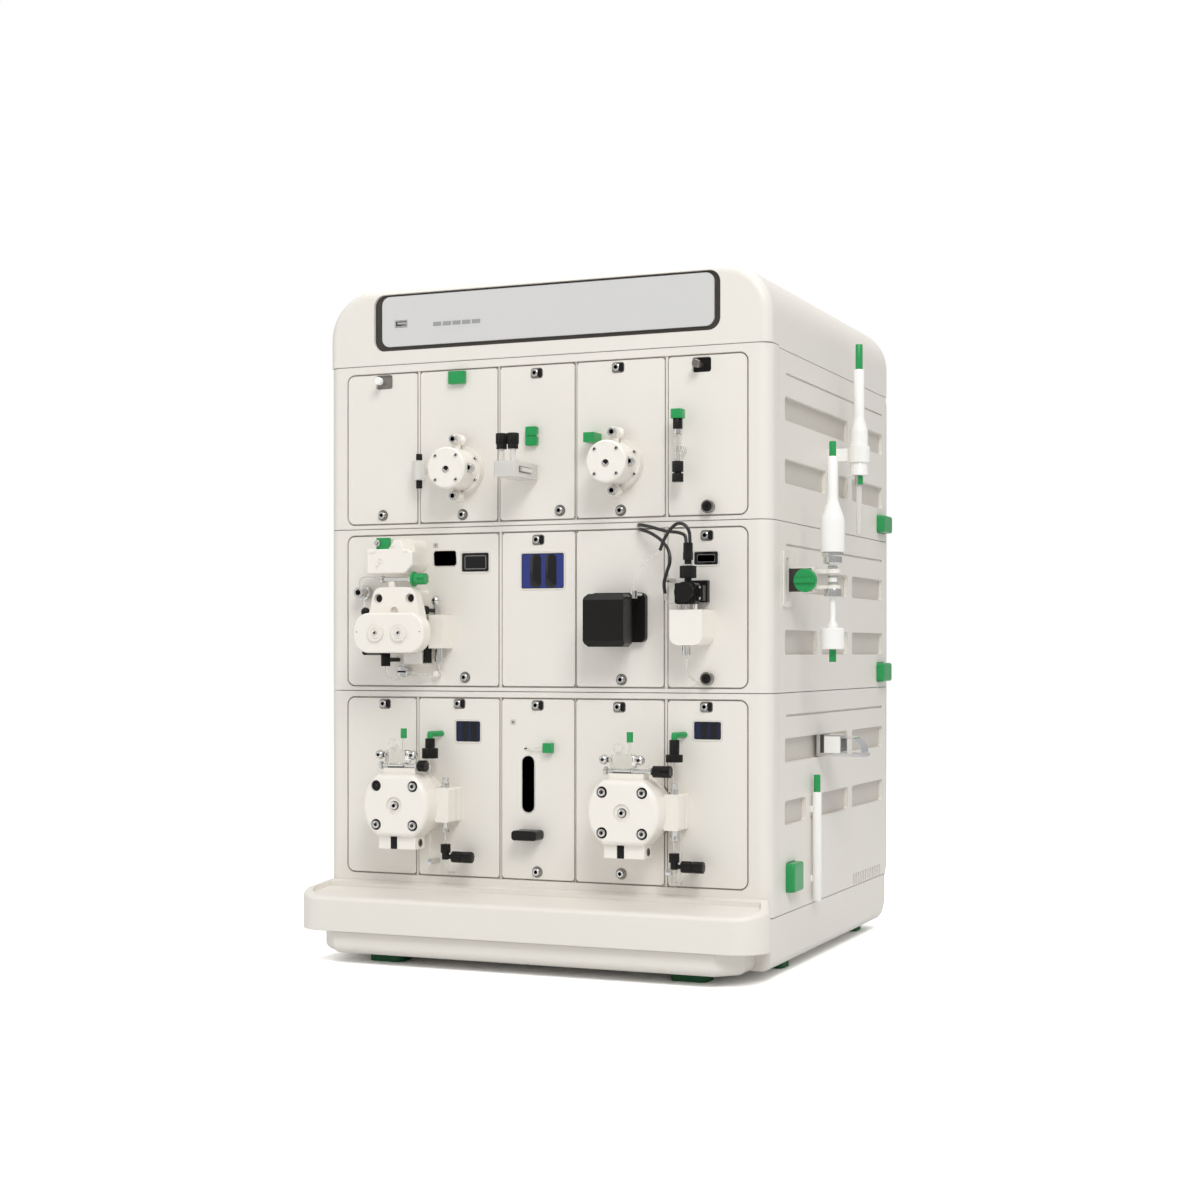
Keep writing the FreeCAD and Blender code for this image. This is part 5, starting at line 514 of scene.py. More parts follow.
class Stage:
    """Floor, light and camera."""

    LAMPS = (("key", (1.5, -2.2, 2.5), 1.3, 52.0), ("fill", (-2.2, -1.8, 1.2), 2.0, 10.0),
             ("top", (0.0, 0.2, 2.4), 1.6, 22.0))
    AIM = (0.0, 0.0, 0.3)

    def __init__(self, datum: Datum, lens: Lens) -> None:
        """Keeps the datum and the camera's facts."""
        self.datum = datum
        self.lens = lens

    def camera(self) -> None:
        """Puts the camera where the photograph was taken from."""
        data = bpy.data.cameras.new("photo_camera")
        data.lens = self.lens.focal
        data.sensor_width = 36.0
        data.shift_y = self.lens.shift_y
        data.clip_end = 50.0
        camera = bpy.data.objects.new("photo_camera", data)
        camera.location = self.datum.at(self.lens.x, self.lens.h, self.lens.z)
        camera.rotation_euler = (math.radians(90), 0.0, math.radians(self.lens.azimuth))
        bpy.context.collection.objects.link(camera)
        bpy.context.scene.camera = camera

    def floor(self) -> None:
        """Lays a floor that shows white to the lens and keeps the soft shadow under the feet."""
        mesh = bpy.data.meshes.new("floor")
        shape = bmesh.new()
        bmesh.ops.create_grid(shape, x_segments=1, y_segments=1, size=14.0)
        shape.to_mesh(mesh)
        shape.free()
        floor = bpy.data.objects.new("floor", mesh)
        bpy.context.collection.objects.link(floor)
        material = bpy.data.materials.new("floor_white")
        material.use_nodes = True
        wires = Wires(material.node_tree)
        material.node_tree.nodes.clear()
        leave = wires.add("ShaderNodeOutputMaterial")
        matt = wires.add("ShaderNodeBsdfDiffuse")
        tone = wires.add("ShaderNodeMix", data_type="RGBA")
        tone.inputs["A"].default_value = (*FLOOR_TONE, 1.0)
        tone.inputs["B"].default_value = (*FLOOR_TONE_SEEN, 1.0)
        wires.link(self.lens_rays(wires), tone.inputs["Factor"])
        wires.link(tone.outputs["Result"], matt.inputs["Color"])
        wires.link(matt.outputs["BSDF"], leave.inputs["Surface"])
        mesh.materials.append(material)

    def world(self) -> None:
        """A white surround for the lens and for clear pieces, and a plain fill for the rest."""
        world = bpy.data.worlds.new("studio")
        bpy.context.scene.world = world
        world.use_nodes = True
        wires = Wires(world.node_tree)
        world.node_tree.nodes.clear()
        leave = wires.add("ShaderNodeOutputWorld")
        fill = wires.add("ShaderNodeBackground")
        fill.inputs["Strength"].default_value = 0.62
        white = wires.add("ShaderNodeBackground")
        white.inputs["Color"].default_value = (1.0, 1.0, 1.0, 1.0)
        white.inputs["Strength"].default_value = 1.0
        self.gradient(wires, fill)
        mixed = wires.add("ShaderNodeMixShader")
        wires.link(self.lens_rays(wires), mixed.inputs["Fac"])
        wires.link(fill.outputs["Background"], mixed.inputs[1])
        wires.link(white.outputs["Background"], mixed.inputs[2])
        wires.link(mixed.outputs["Shader"], leave.inputs["Surface"])

    @staticmethod
    def lens_rays(wires: Wires) -> bpy.types.NodeSocket:
        """One for rays from the lens, straight or through a clear piece, and zero for all others."""
        rays = wires.add("ShaderNodeLightPath")
        either = wires.add("ShaderNodeMath", operation="MAXIMUM")
        wires.link(rays.outputs["Is Camera Ray"], either.inputs[0])
        wires.link(rays.outputs["Is Transmission Ray"], either.inputs[1])
        return either.outputs["Value"]

    @staticmethod
    def gradient(wires: Wires, fill: bpy.types.Node) -> None:
        """Makes the fill darker below the horizon and behind, as the walls of a studio do."""
        place = wires.add("ShaderNodeTexCoord")
        split = wires.add("ShaderNodeSeparateXYZ")
        height = wires.add("ShaderNodeMapRange")
        height.inputs["From Min"].default_value = -0.4
        height.inputs["From Max"].default_value = 0.8
        height.inputs["To Min"].default_value = 0.55
        height.inputs["To Max"].default_value = 1.0
        wires.link(place.outputs["Generated"], split.inputs["Vector"])
        wires.link(split.outputs["Z"], height.inputs["Value"])
        wires.link(height.outputs["Result"], fill.inputs["Color"])

    def lamp(self, name: str, place: Vector, size: float, power: float) -> None:
        """Adds a square soft lamp that faces the instrument.

        Args:
            name: The lamp's name.
            place: Where it hangs.
            size: Its side in metres.
            power: Its power in watts.
        """
        data = bpy.data.lights.new(name, "AREA")
        data.size = size
        data.energy = power
        lamp = bpy.data.objects.new(name, data)
        lamp.location = place
        lamp.rotation_euler = (Vector(self.AIM) - place).to_track_quat("-Z", "Y").to_euler()
        bpy.context.collection.objects.link(lamp)

    def build(self) -> None:
        """Sets the whole stage: key from the upper right, fill from the left and a soft top light."""
        bpy.context.scene.view_settings.view_transform = "Standard"
        self.camera()
        self.floor()
        self.world()
        for name, place, size, power in self.LAMPS:
            self.lamp(name, Vector(place), size, power)


class Builder:
    """What every sub-assembly needs: the datum, the palette and a way to finish a mesh."""

    def __init__(self, datum: Datum, palette: Palette) -> None:
        """Keeps the datum and the palette.

        Args:
            datum: The instrument's zero in the row frame.
            palette: The finishes.
        """
        self.datum = datum
        self.palette = palette

    def piece(self, name: str, shape: Shape, finish: Finish, body: str = ROOT_BODY,
              stands_for: str | None = None, smooth: float = 35.0) -> bpy.types.Object:
        """Turns a shape into a finished object that rides on a body.

        Args:
            name: The object's name.
            shape: The shape in millimetres; its mesh is freed.
            finish: The finish that it gets.
            body: The body that carries it.
            stands_for: The CAD node that it replaces, if any.
            smooth: Edges flatter than this many degrees are shaded smooth.

        Returns:
            The new object.
        """
        work = shape.mesh
        bmesh.ops.holes_fill(work, edges=[edge for edge in work.edges if edge.is_boundary], sides=0)
        bmesh.ops.recalc_face_normals(work, faces=work.faces)
        bmesh.ops.transform(work, matrix=self.datum.matrix(), verts=work.verts)
        mesh = bpy.data.meshes.new(name)
        work.to_mesh(mesh)
        work.free()
        mesh.materials.append(self.palette.material(finish))
        mesh.shade_smooth()
        mesh.set_sharp_from_angle(angle=math.radians(smooth))
        thing = bpy.data.objects.new(name, mesh)
        bpy.context.collection.objects.link(thing)
        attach(thing, body)
        if stands_for:
            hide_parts(stands_for)
        LOG.info("%s: %d faces", name, len(mesh.polygons))
        return thing


class CadDresser(Builder):
    """Gives every carried-over CAD node its finish."""

    FINISHES = {
        Palette.HOUSING: ("upper_housing", "middle_housing", "lower_housing", "upper_bezel", "middle_bezel",
                          "lower_bezel", "base_pan", "head_cover", "drip_tray"),
        Palette.PANEL: ("upper_modules", "middle_modules", "lower_modules", "valve_rings"),
        Palette.WARM: ("valve_heads", "mixer_housing", "sample_pump_arch", "sample_pump_head", "cell_block",
                       "pump_head_a", "pump_head_b", "pump_side_blocks", "column_clamp"),
        Palette.SILVER: ("display_strip",),
        # The near-black surround also paints the shade of the gap round the display strip.
        Palette.DARK: ("display_surround",),
        Palette.STEEL: ("usb_port", "data_ports", "fan_guard", "pump_motors"),
        Palette.CHROME: ("hook_bracket",),
        Palette.BLACK: ("power_inlet", "power_switch", "fan_rotor", "handle_bar", "purge_knob_a",
                        "purge_knob_b", "detector_box", "flow_cell"),
        Palette.GREEN: ("upper_latch", "middle_latch", "lower_latch", "rocker_clip", "sample_purge_knob",
                        "green_plugs", "clamp_knob"),
        Palette.FOOT: ("feet",),
        Palette.CLEAR: ("pump_manifolds", "clear_tubes"),
        Palette.MILK: ("nut_arm",),
        Palette.WINDOW: ("panel_windows",),
        Palette.LENS: ("status_lights",),
        Palette.REAR: ("rear_panel",),
        Palette.LEAD: ("signal_leads",),
    }

    def dress(self, nodes: dict[str, bpy.types.Object]) -> None:
        """Assigns the finishes.

        Args:
            nodes: The frame's node objects by name.
        """
        for finish, names in self.FINISHES.items():
            for name in names:
                for slot in nodes[name].material_slots:
                    slot.material = self.palette.material(finish)


@dataclass(frozen=True)
class ScrewSizes:
    """Sizes of the cap screws on the front."""

    panel: float = 3.4
    panel_height: float = 3.0
    valve: float = 1.9
    pump: float = 3.5
    centre: float = 3.4
    seat: float = 5.2


class CapScrews(Builder):
    """All cap screws on the module panels, the valves and the pump heads, with their seats, and the painted
    shade and shadow in and round their pockets and sockets.
    """

    UNDER_BROW = ((-4.0, 486.3), (76.0, 487.0), (-2.4, 334.4), (160.3, 334.7), (-160.6, 183.6),
                  (-82.5, 184.4), (-3.0, 183.6), (77.3, 182.9), (159.8, 183.8))
    AT_FOOT = ((-162.0, 360.7), (-78.3, 359.3), (20.1, 360.4), (79.5, 358.8), (-75.8, 208.7), (80.2, 207.4),
               (-2.5, 31.8), (80.0, 33.7))

    def build(self, sizes: ScrewSizes) -> None:
        """Makes the screws; their pockets as dark steel seats, painted shade of pockets the panel does not
        have; the black floors of their sockets, painted shade; and black plates and rings of painted shadow
        beside and round them.

        Args:
            sizes: The sizes of the screws.
        """
        heads = Shape()
        sockets = Shape()
        seats = Shape()
        shades = Shape()
        for x, z in self.UNDER_BROW:
            # Dark steel seat under the brow: painted shade of the uncut pocket.
            seats.plate(x - 4.6, x + 7.4, z - 5.0, z + 4.6, 0.0, 0.2, 2.6, 0.1)
            # Black plate on the right of the pocket: painted shadow.
            shades.plate(x + 2.6, x + 6.6, z - 4.1, z + 3.8, 0.2, 0.3, 1.6, 0.0)
        for x, z in self.AT_FOOT:
            # Dark steel ring at the foot: painted shade of the uncut pocket.
            seats.washer(sizes.seat, sizes.panel - 0.1, 0.5, (x + 0.5, 0.0, z))
        for x, z in self.UNDER_BROW + self.AT_FOOT:
            self.pair(heads, sockets, sizes.panel, sizes.panel_height, (x, 0.0, z), sizes.panel_height * 0.3)
        for x in Valves.X:
            for dx in (-Valves.SCREW_X, Valves.SCREW_X):
                for dz in (-Valves.SCREW_Z, Valves.SCREW_Z):
                    place = (x + dx, Valves.FRONT, Valves.Z + dz)
                    self.pair(heads, sockets, sizes.valve, 0.9, place, 0.3)
        for x in Pumps.X:
            self.pair(heads, sockets, sizes.centre, 2.6, (x, Pumps.SEAT, Pumps.Z), 0.8)
            for dx in (-Pumps.SCREW_X, Pumps.SCREW_X):
                for dz in (-Pumps.SCREW_Z, Pumps.SCREW_Z):
                    place = (x + dx, Pumps.SEAT, Pumps.Z + dz)
                    # Black disc round each corner screw: painted shade of its counterbore, and of the empty
                    # hole where no screw sits.
                    shades.washer(4.85, 0.3, 0.2, place)
                    if x == Pumps.X[0] and dx < 0 < dz:
                        continue
                    self.pair(heads, sockets, sizes.pump, 2.6, place, 0.8)
        self.piece("cap_screws", heads, Palette.STEEL, stands_for="socket_screws")
        self.piece("screw_socket_shade", sockets, Palette.BLACK)
        self.piece("screw_seat_shade", seats, Palette.SEAT)
        self.piece("screw_shades", shades, Palette.BLACK)

    @staticmethod
    def pair(heads: Shape, sockets: Shape, radius: float, height: float, place: Place, floor: float) -> None:
        """A screw that faces the viewer, with a black plate of painted shade at the floor of its socket above
        its seat.
        """
        heads.screw(radius, height, place)
        CapScrews.socket(sockets, radius, (place[0], place[1] + floor, place[2]))

    @staticmethod
    def socket(shape: Shape, radius: float, place: Place) -> None:
        """A black six-sided plate at the floor of a screw's socket: painted shade of the socket."""
        reach = radius * 0.5
        outline = [(reach * math.cos(math.tau * step / 6), reach * math.sin(math.tau * step / 6))
                   for step in range(6)]
        shape.prism(outline, 0.12, place)


class Valves(Builder):
    """Ports, ear screws and rim screws of the two rotary valves."""

    X = (-78.0, 79.3)
    Z = 399.8
    FRONT = 35.0
    SCREW_X = 10.4
    SCREW_Z = 11.0
    RING_FRONT = 8.0
    RING_SCREWS = (30.0, -30.0, 78.0, -78.0, 150.0, 210.0)

    def build(self) -> None:
        """Makes the small parts of both valves, with black discs of painted shade in the ports and screw
        sockets.
        """
        ports = Shape()
        holes = Shape()
        domes = Shape()
        for x in self.X:
            ports.washer(3.4, 2.3, 1.5, (x, self.FRONT - 1.7, self.Z))
            # Black disc inside the port: painted shade of the hole.
            holes.rod(2.3, 0.4, (x, self.FRONT - 1.7, self.Z), edge=0.1)
            for angle in self.RING_SCREWS:
                reach = 19.6 if abs(angle) != 78.0 else 18.0
                dx = reach * math.cos(math.radians(angle))
                dz = reach * math.sin(math.radians(angle))
                CapScrews.pair(ports, holes, 1.9, 1.6, (x + dx, self.RING_FRONT, self.Z + dz), 0.5)
            domes.turned([(5.2, 0.0), (5.2, 1.6), (4.4, 3.4), (2.6, 4.6), (0.0, 5.0)],
                         (x + 2.5, self.RING_FRONT, self.Z + 27.0))
        self.piece("valve_ports", ports, Palette.STEEL)
        self.piece("valve_hole_shade", holes, Palette.BLACK)
        self.piece("valve_domes", domes, Palette.WARM)


class Pumps(Builder):
    """Trim of the two piston pump heads."""

    X = (-124.9, 99.2)
    Z = 91.8
    FRONT = 46.0
    SEAT = FRONT - 1.5
    SCREW_X = 18.8
    SCREW_Z = 17.8
    BLOCK_X = 38.5
    BLOCK_H = 18.0

    def build(self) -> None:
        """Makes the strips, sockets and rings of both heads; the ring round each centre screw is painted shade.
        """
        strips = Shape()
        rings = Shape()
        for x in self.X:
            strips.plate(x - 6.5, x - 0.1, self.Z - 40.2, self.Z - 29.2, 38.0, 40.4, 0.6, 0.3)
            strips.rod(2.4, 0.4, (x + 19.0, 31.0, self.Z - 34.6), Axis.RIGHT, 0.1)
            rings.washer(3.6, 2.5, 0.7, (x + 19.0, 31.0, self.Z - 34.6), Axis.RIGHT)
            # Dark steel ring round the centre screw: painted shade.
            rings.washer(4.3, 3.5, 0.4, (x, self.SEAT, self.Z))
            for dz in (-15.0, 15.0):
                rings.screw(1.9, 1.4, (x + 31.5, 12.0, self.Z + dz), Axis.RIGHT)
        self.piece("pump_strips", strips, Palette.BLACK)
        self.piece("pump_rings", rings, Palette.SEAT)


class PanelTrim(Builder):
    """Windows, frames, pockets and small marks on the module panels."""

    DARK_WINDOWS = ((-106.5, -85.3, 312.7, 325.4), (-78.8, -51.3, 306.3, 323.5), (149.7, 171.7, 308.8, 320.2))
    BLUE_WINDOW = (-17.9, 24.2, 290.0, 321.8)
    LOWER_WINDOWS = ((-84.8, -60.0, 149.3, 168.1), (149.5, 174.6, 155.1, 170.6))
    STADIUM = (-16.7, -5.2, 86.1, 137.1)
    MARKS = ((-105.8, 331.4), (-26.4, 167.9))

    def build(self) -> None:
        """Makes the window lips, panes, pocket floors and marks."""
        lips = Shape()
        for left, right, low, high in self.DARK_WINDOWS + (self.BLUE_WINDOW,) + self.LOWER_WINDOWS:
            lips.frame(left - 0.2, right + 0.2, low - 0.2, high + 0.2, 1.5, 0.0, 0.45, 1.6)
        left, right, low, high = self.STADIUM
        lips.frame(left, right, low, high, 1.3, 0.0, 0.4, (right - left) / 2 - 0.02)
        self.piece("window_lips", lips, Palette.PANEL)
        self.blue_window()
        self.lower_windows()
        level = Shape()
        level.plate(left + 0.1, right - 0.1, low + 0.1, high - 0.1, -2.4, -0.8, (right - left) / 2 - 0.3, 0.0)
        self.piece("level_pane", level, Palette.SAGE)
        rims = Shape()
        for left, right, low, high in self.DARK_WINDOWS:
            rims.frame(left + 3.4, right - 3.4, low + 3.0, high - 3.0, 0.8, -0.4, 0.15, 0.8)
        self.piece("inner_rims", rims, Palette.BROWN)
        self.pockets()
        self.marks()

    def blue_window(self) -> None:
        """The blue pane with two black ovals."""
        left, right, low, high = self.BLUE_WINDOW
        pane = Shape()
        pane.plate(left + 0.6, right - 0.6, low + 0.6, high - 0.6, -0.4, -0.25, 1.0, 0.0)
        self.piece("blue_pane", pane, Palette.NAVY)
        ovals = Shape()
        for x0, x1 in ((-9.3, 1.6), (5.9, 16.9)):
            ovals.plate(x0, x1, low + 0.9, high - 0.9, -0.25, -0.1, 3.4, 0.05)
        self.piece("blue_pane_ovals", ovals, Palette.WINDOW)

    def lower_windows(self) -> None:
        """Dark blue stripes behind the panes of the pump modules."""
        stripes = Shape()
        for left, right, low, high in self.LOWER_WINDOWS:
            width = right - left
            for begin, end in ((0.02, 0.26), (0.50, 0.60), (0.86, 0.98)):
                stripes.plate(left + width * begin, left + width * end, low + 0.5, high - 0.5, -0.4, -0.3,
                              0.3, 0.0)
        self.piece("lower_pane_stripes", stripes, Palette.DEEP)

    def pockets(self) -> None:
        """Floors of the pockets behind the two top knobs."""
        pale = Shape()
        pale.plate(-168.8, -151.7, 479.6, 492.4, -2.45, -2.3, 2.4, 0.0)
        self.piece("pale_knob_pocket", pale, Palette.BROWN)
        black = Shape()
        black.plate(148.2, 165.3, 478.6, 491.4, -2.45, -2.3, 2.4, 0.0)
        self.piece("black_knob_pocket", black, Palette.BLACK)

    def marks(self) -> None:
        """Two small square inserts with a dot."""
        squares = Shape()
        dots = Shape()
        for x, z in self.MARKS:
            squares.plate(x - 2.6, x + 2.6, z - 2.4, z + 2.4, 0.0, 0.2, 0.8, 0.08)
            dots.rod(1.0, 0.15, (x, 0.2, z), edge=0.05)
        self.piece("square_marks", squares, Palette.MARK)
        self.piece("square_dots", dots, Palette.SEAT)


class UpperTier(Builder):
    """The arm's steel window, the inline cell and the glass cell."""

    INLINE = (-118.0, 10.0)
    GLASS = (139.5, 14.0)

    def build(self) -> None:
        """Makes the small parts of the upper tier."""
        arm = Shape()
        arm.prism([(-398.2, -42.0), (-398.2, -17.0), (-392.4, -17.0), (-392.4, -42.0)], 0.25,
                  (-1.0, 0.0, 0.0), Axis.RIGHT, 0.1)
        self.piece("arm_window", arm, Palette.SEAT)
        pin = Shape()
        pin.turned([(0, 0), (1.7, 0.2), (1.9, 0.8), (1.9, 22.0), (1.7, 22.8), (0, 23)], (-0.2, 41.0, 395.3),
                   Axis.BACK, 24)
        self.piece("arm_pin", pin, Palette.CHROME)
        self.inline_cell()
        self.glass_cell()

    def inline_cell(self) -> None:
        """The smoky cell at the edge of the first module, with its black ends."""
        x, h = self.INLINE
        body = Shape()
        body.turned([(5.0, 391.4), (6.4, 391.9), (6.4, 409.2), (5.0, 409.7)], (x, h, 0.0), Axis.UP)
        self.piece("inline_body", body, Palette.MILK, stands_for="inline_cell")
        core = Shape()
        core.rod(2.0, 17.6, (x, h, 391.8), Axis.UP)
        core.plate(x - 3.5, x + 3.5, 397.5, 403.5, 0.0, h - 5.6, 0.8, 0.2)
        self.piece("inline_core", core, Palette.STEEL)
        ends = Shape()
        for low, length in ((384.0, 8.0), (409.2, 6.8)):
            ends.grip(2.9, 0.3, 10, length, (x, h, low), Axis.UP, 0.4)
        self.piece("inline_ends", ends, Palette.BLACK)

    def glass_cell(self) -> None:
        """The short glass column between its black nuts and the green cap."""
        x, h = self.GLASS
        tube = Shape()
        tube.turned([(3.1, 398.8), (3.1, 421.0), (3.5, 423.6), (2.3, 423.6), (2.3, 398.8)], (x, h, 0.0),
                    Axis.UP)
        tube.plate(x - 3.4, x + 3.4, 408.0, 413.0, 0.0, h - 3.0, 0.8, 0.2)
        self.piece("glass_tube", tube, Palette.CLEAR, stands_for="glass_cell")
        steel = Shape()
        steel.washer(3.7, 2.0, 4.4, (x, h, 423.5), Axis.UP)
        self.piece("glass_collar", steel, Palette.STEEL)
        nuts = Shape()
        nuts.grip(5.0, 0.35, 14, 7.6, (x, h, 381.1), Axis.UP)
        nuts.turned([(0, 388.4), (3.4, 388.4), (3.2, 389.4), (3.4, 390.4), (0, 390.4)], (x, h, 0.0), Axis.UP)
        nuts.grip(5.0, 0.35, 14, 9.4, (x, h, 390.0), Axis.UP)
        nuts.grip(4.3, 0.3, 12, 9.2, (x, h, 427.8), Axis.UP)
        self.piece("glass_nuts", nuts, Palette.BLACK)
        cap = Shape()
        cap.prism(rounded(-5.4, 5.4, -5.0, 5.0, 1.6), 8.4, (x, h, 436.8), Axis.UP, 0.8)
        self.piece("glass_cap", cap, Palette.GREEN)


class BlackFittings(Builder):
    """Ribbed nuts, balls and knobs of black plastic on the front."""

    TWIN_X = (-17.5, -6.3)
    FEEDS = ((-104.0, 134.0, 143.4, 152.4), (136.7, 135.4, 142.0, 155.0))
    BALLS = ((-166.3, 269.5, 25.0), (-105.0, 270.6, 22.0))
    KNOBS = ((163.9, 359.7), (163.1, 208.7))

    def build(self) -> None:
        """Makes all black fittings as one piece, and their steel faces."""
        nuts = Shape()
        for x in self.TWIN_X:
            nuts.grip(5.3, 0.4, 18, 9.6, (x, 43.0, 417.8), Axis.UP)
            nuts.grip(4.7, 0.3, 12, 4.6, (x, 43.0, 413.3), Axis.UP)
        for x, low, step, high in self.FEEDS:
            nuts.grip(7.5, 0.4, 20, step - low, (x, 15.0, low), Axis.UP)
            nuts.grip(4.5, 0.3, 12, high - step, (x, 15.0, step), Axis.UP)
        for x in Pumps.X:
            self.branch(nuts, x)
        for x, z, h in self.BALLS:
            nuts.rod(1.8, h, (x, 0.0, z))
            nuts.ball(4.2, (x, h, z))
        nuts.grip(3.8, 0.3, 12, 18.0, (-106.1, 16.0, 222.0), Axis.UP)
        nuts.rod(2.1, 25.0, (-145.0, 0.0, 225.0))
        nuts.grip(4.3, 0.35, 14, 12.0, (-145.0, 25.0, 219.0), Axis.UP)
        nuts.rod(2.8, 32.0, (-163.4, 0.0, 232.0))
        self.piece("black_nuts", nuts, Palette.BLACK, stands_for="black_fittings")
        self.knobs()

    @staticmethod
    def branch(nuts: Shape, x: float) -> None:
        """The nut under a side block, its branch to the right and the clip that holds both."""
        nuts.grip(4.6, 0.35, 14, 8.0, (x + Pumps.BLOCK_X, Pumps.BLOCK_H, 47.8), Axis.UP)
        nuts.turned([(0, 0), (3.4, 0), (3.4, 6.4), (0, 6.4)], (x + Pumps.BLOCK_X, Pumps.BLOCK_H, 41.7), Axis.UP)
        nuts.rod(2.0, 8.4, (x + Pumps.BLOCK_X, Pumps.BLOCK_H, 44.2), Axis.RIGHT)
        nuts.grip(5.2, 0.5, 8, 9.8, (x + 45.7, 18.0, 44.2), Axis.RIGHT)
        nuts.turned([(0, 0), (3.9, 0), (3.9, 1.2), (0, 1.2)], (x + 55.3, 18.0, 44.2), Axis.RIGHT)
        nuts.grip(5.2, 0.5, 8, 9.6, (x + 56.3, 18.0, 44.2), Axis.RIGHT)
        nuts.plate(x + 50.0, x + 58.0, 42.4, 46.0, 0.0, 17.0, 0.5, 0.1)

    def knobs(self) -> None:
        """The dark captive knobs, ringed with steel, and the one in the black pocket."""
        rings = Shape()
        caps = Shape()
        for x, z in self.KNOBS:
            rings.turned([(4.0, 0.0), (5.4, 0.0), (5.4, 2.0), (5.9, 3.6), (5.9, 6.0), (5.2, 6.8), (4.4, 6.8),
                          (4.0, 6.2), (4.0, 0.0)], (x, 0.0, z))
            caps.turned([(0.0, 5.4), (1.5, 5.4), (1.9, 6.6), (3.6, 7.0), (4.1, 6.2), (4.1, 0.5)], (x, 0.0, z))
        steel = Shape()
        steel.turned([(0.0, 11.6), (3.0, 11.6), (3.7, 11.0), (3.7, 6.4), (2.9, 5.6), (2.4, 5.4), (2.4, -2.3)],
                     (155.0, 0.0, 485.0))
        self.piece("knob_rings", rings, Palette.SEAT)
        self.piece("knob_caps", caps, Palette.BLACK)
        self.piece("pocket_knob", steel, Palette.SEAT)


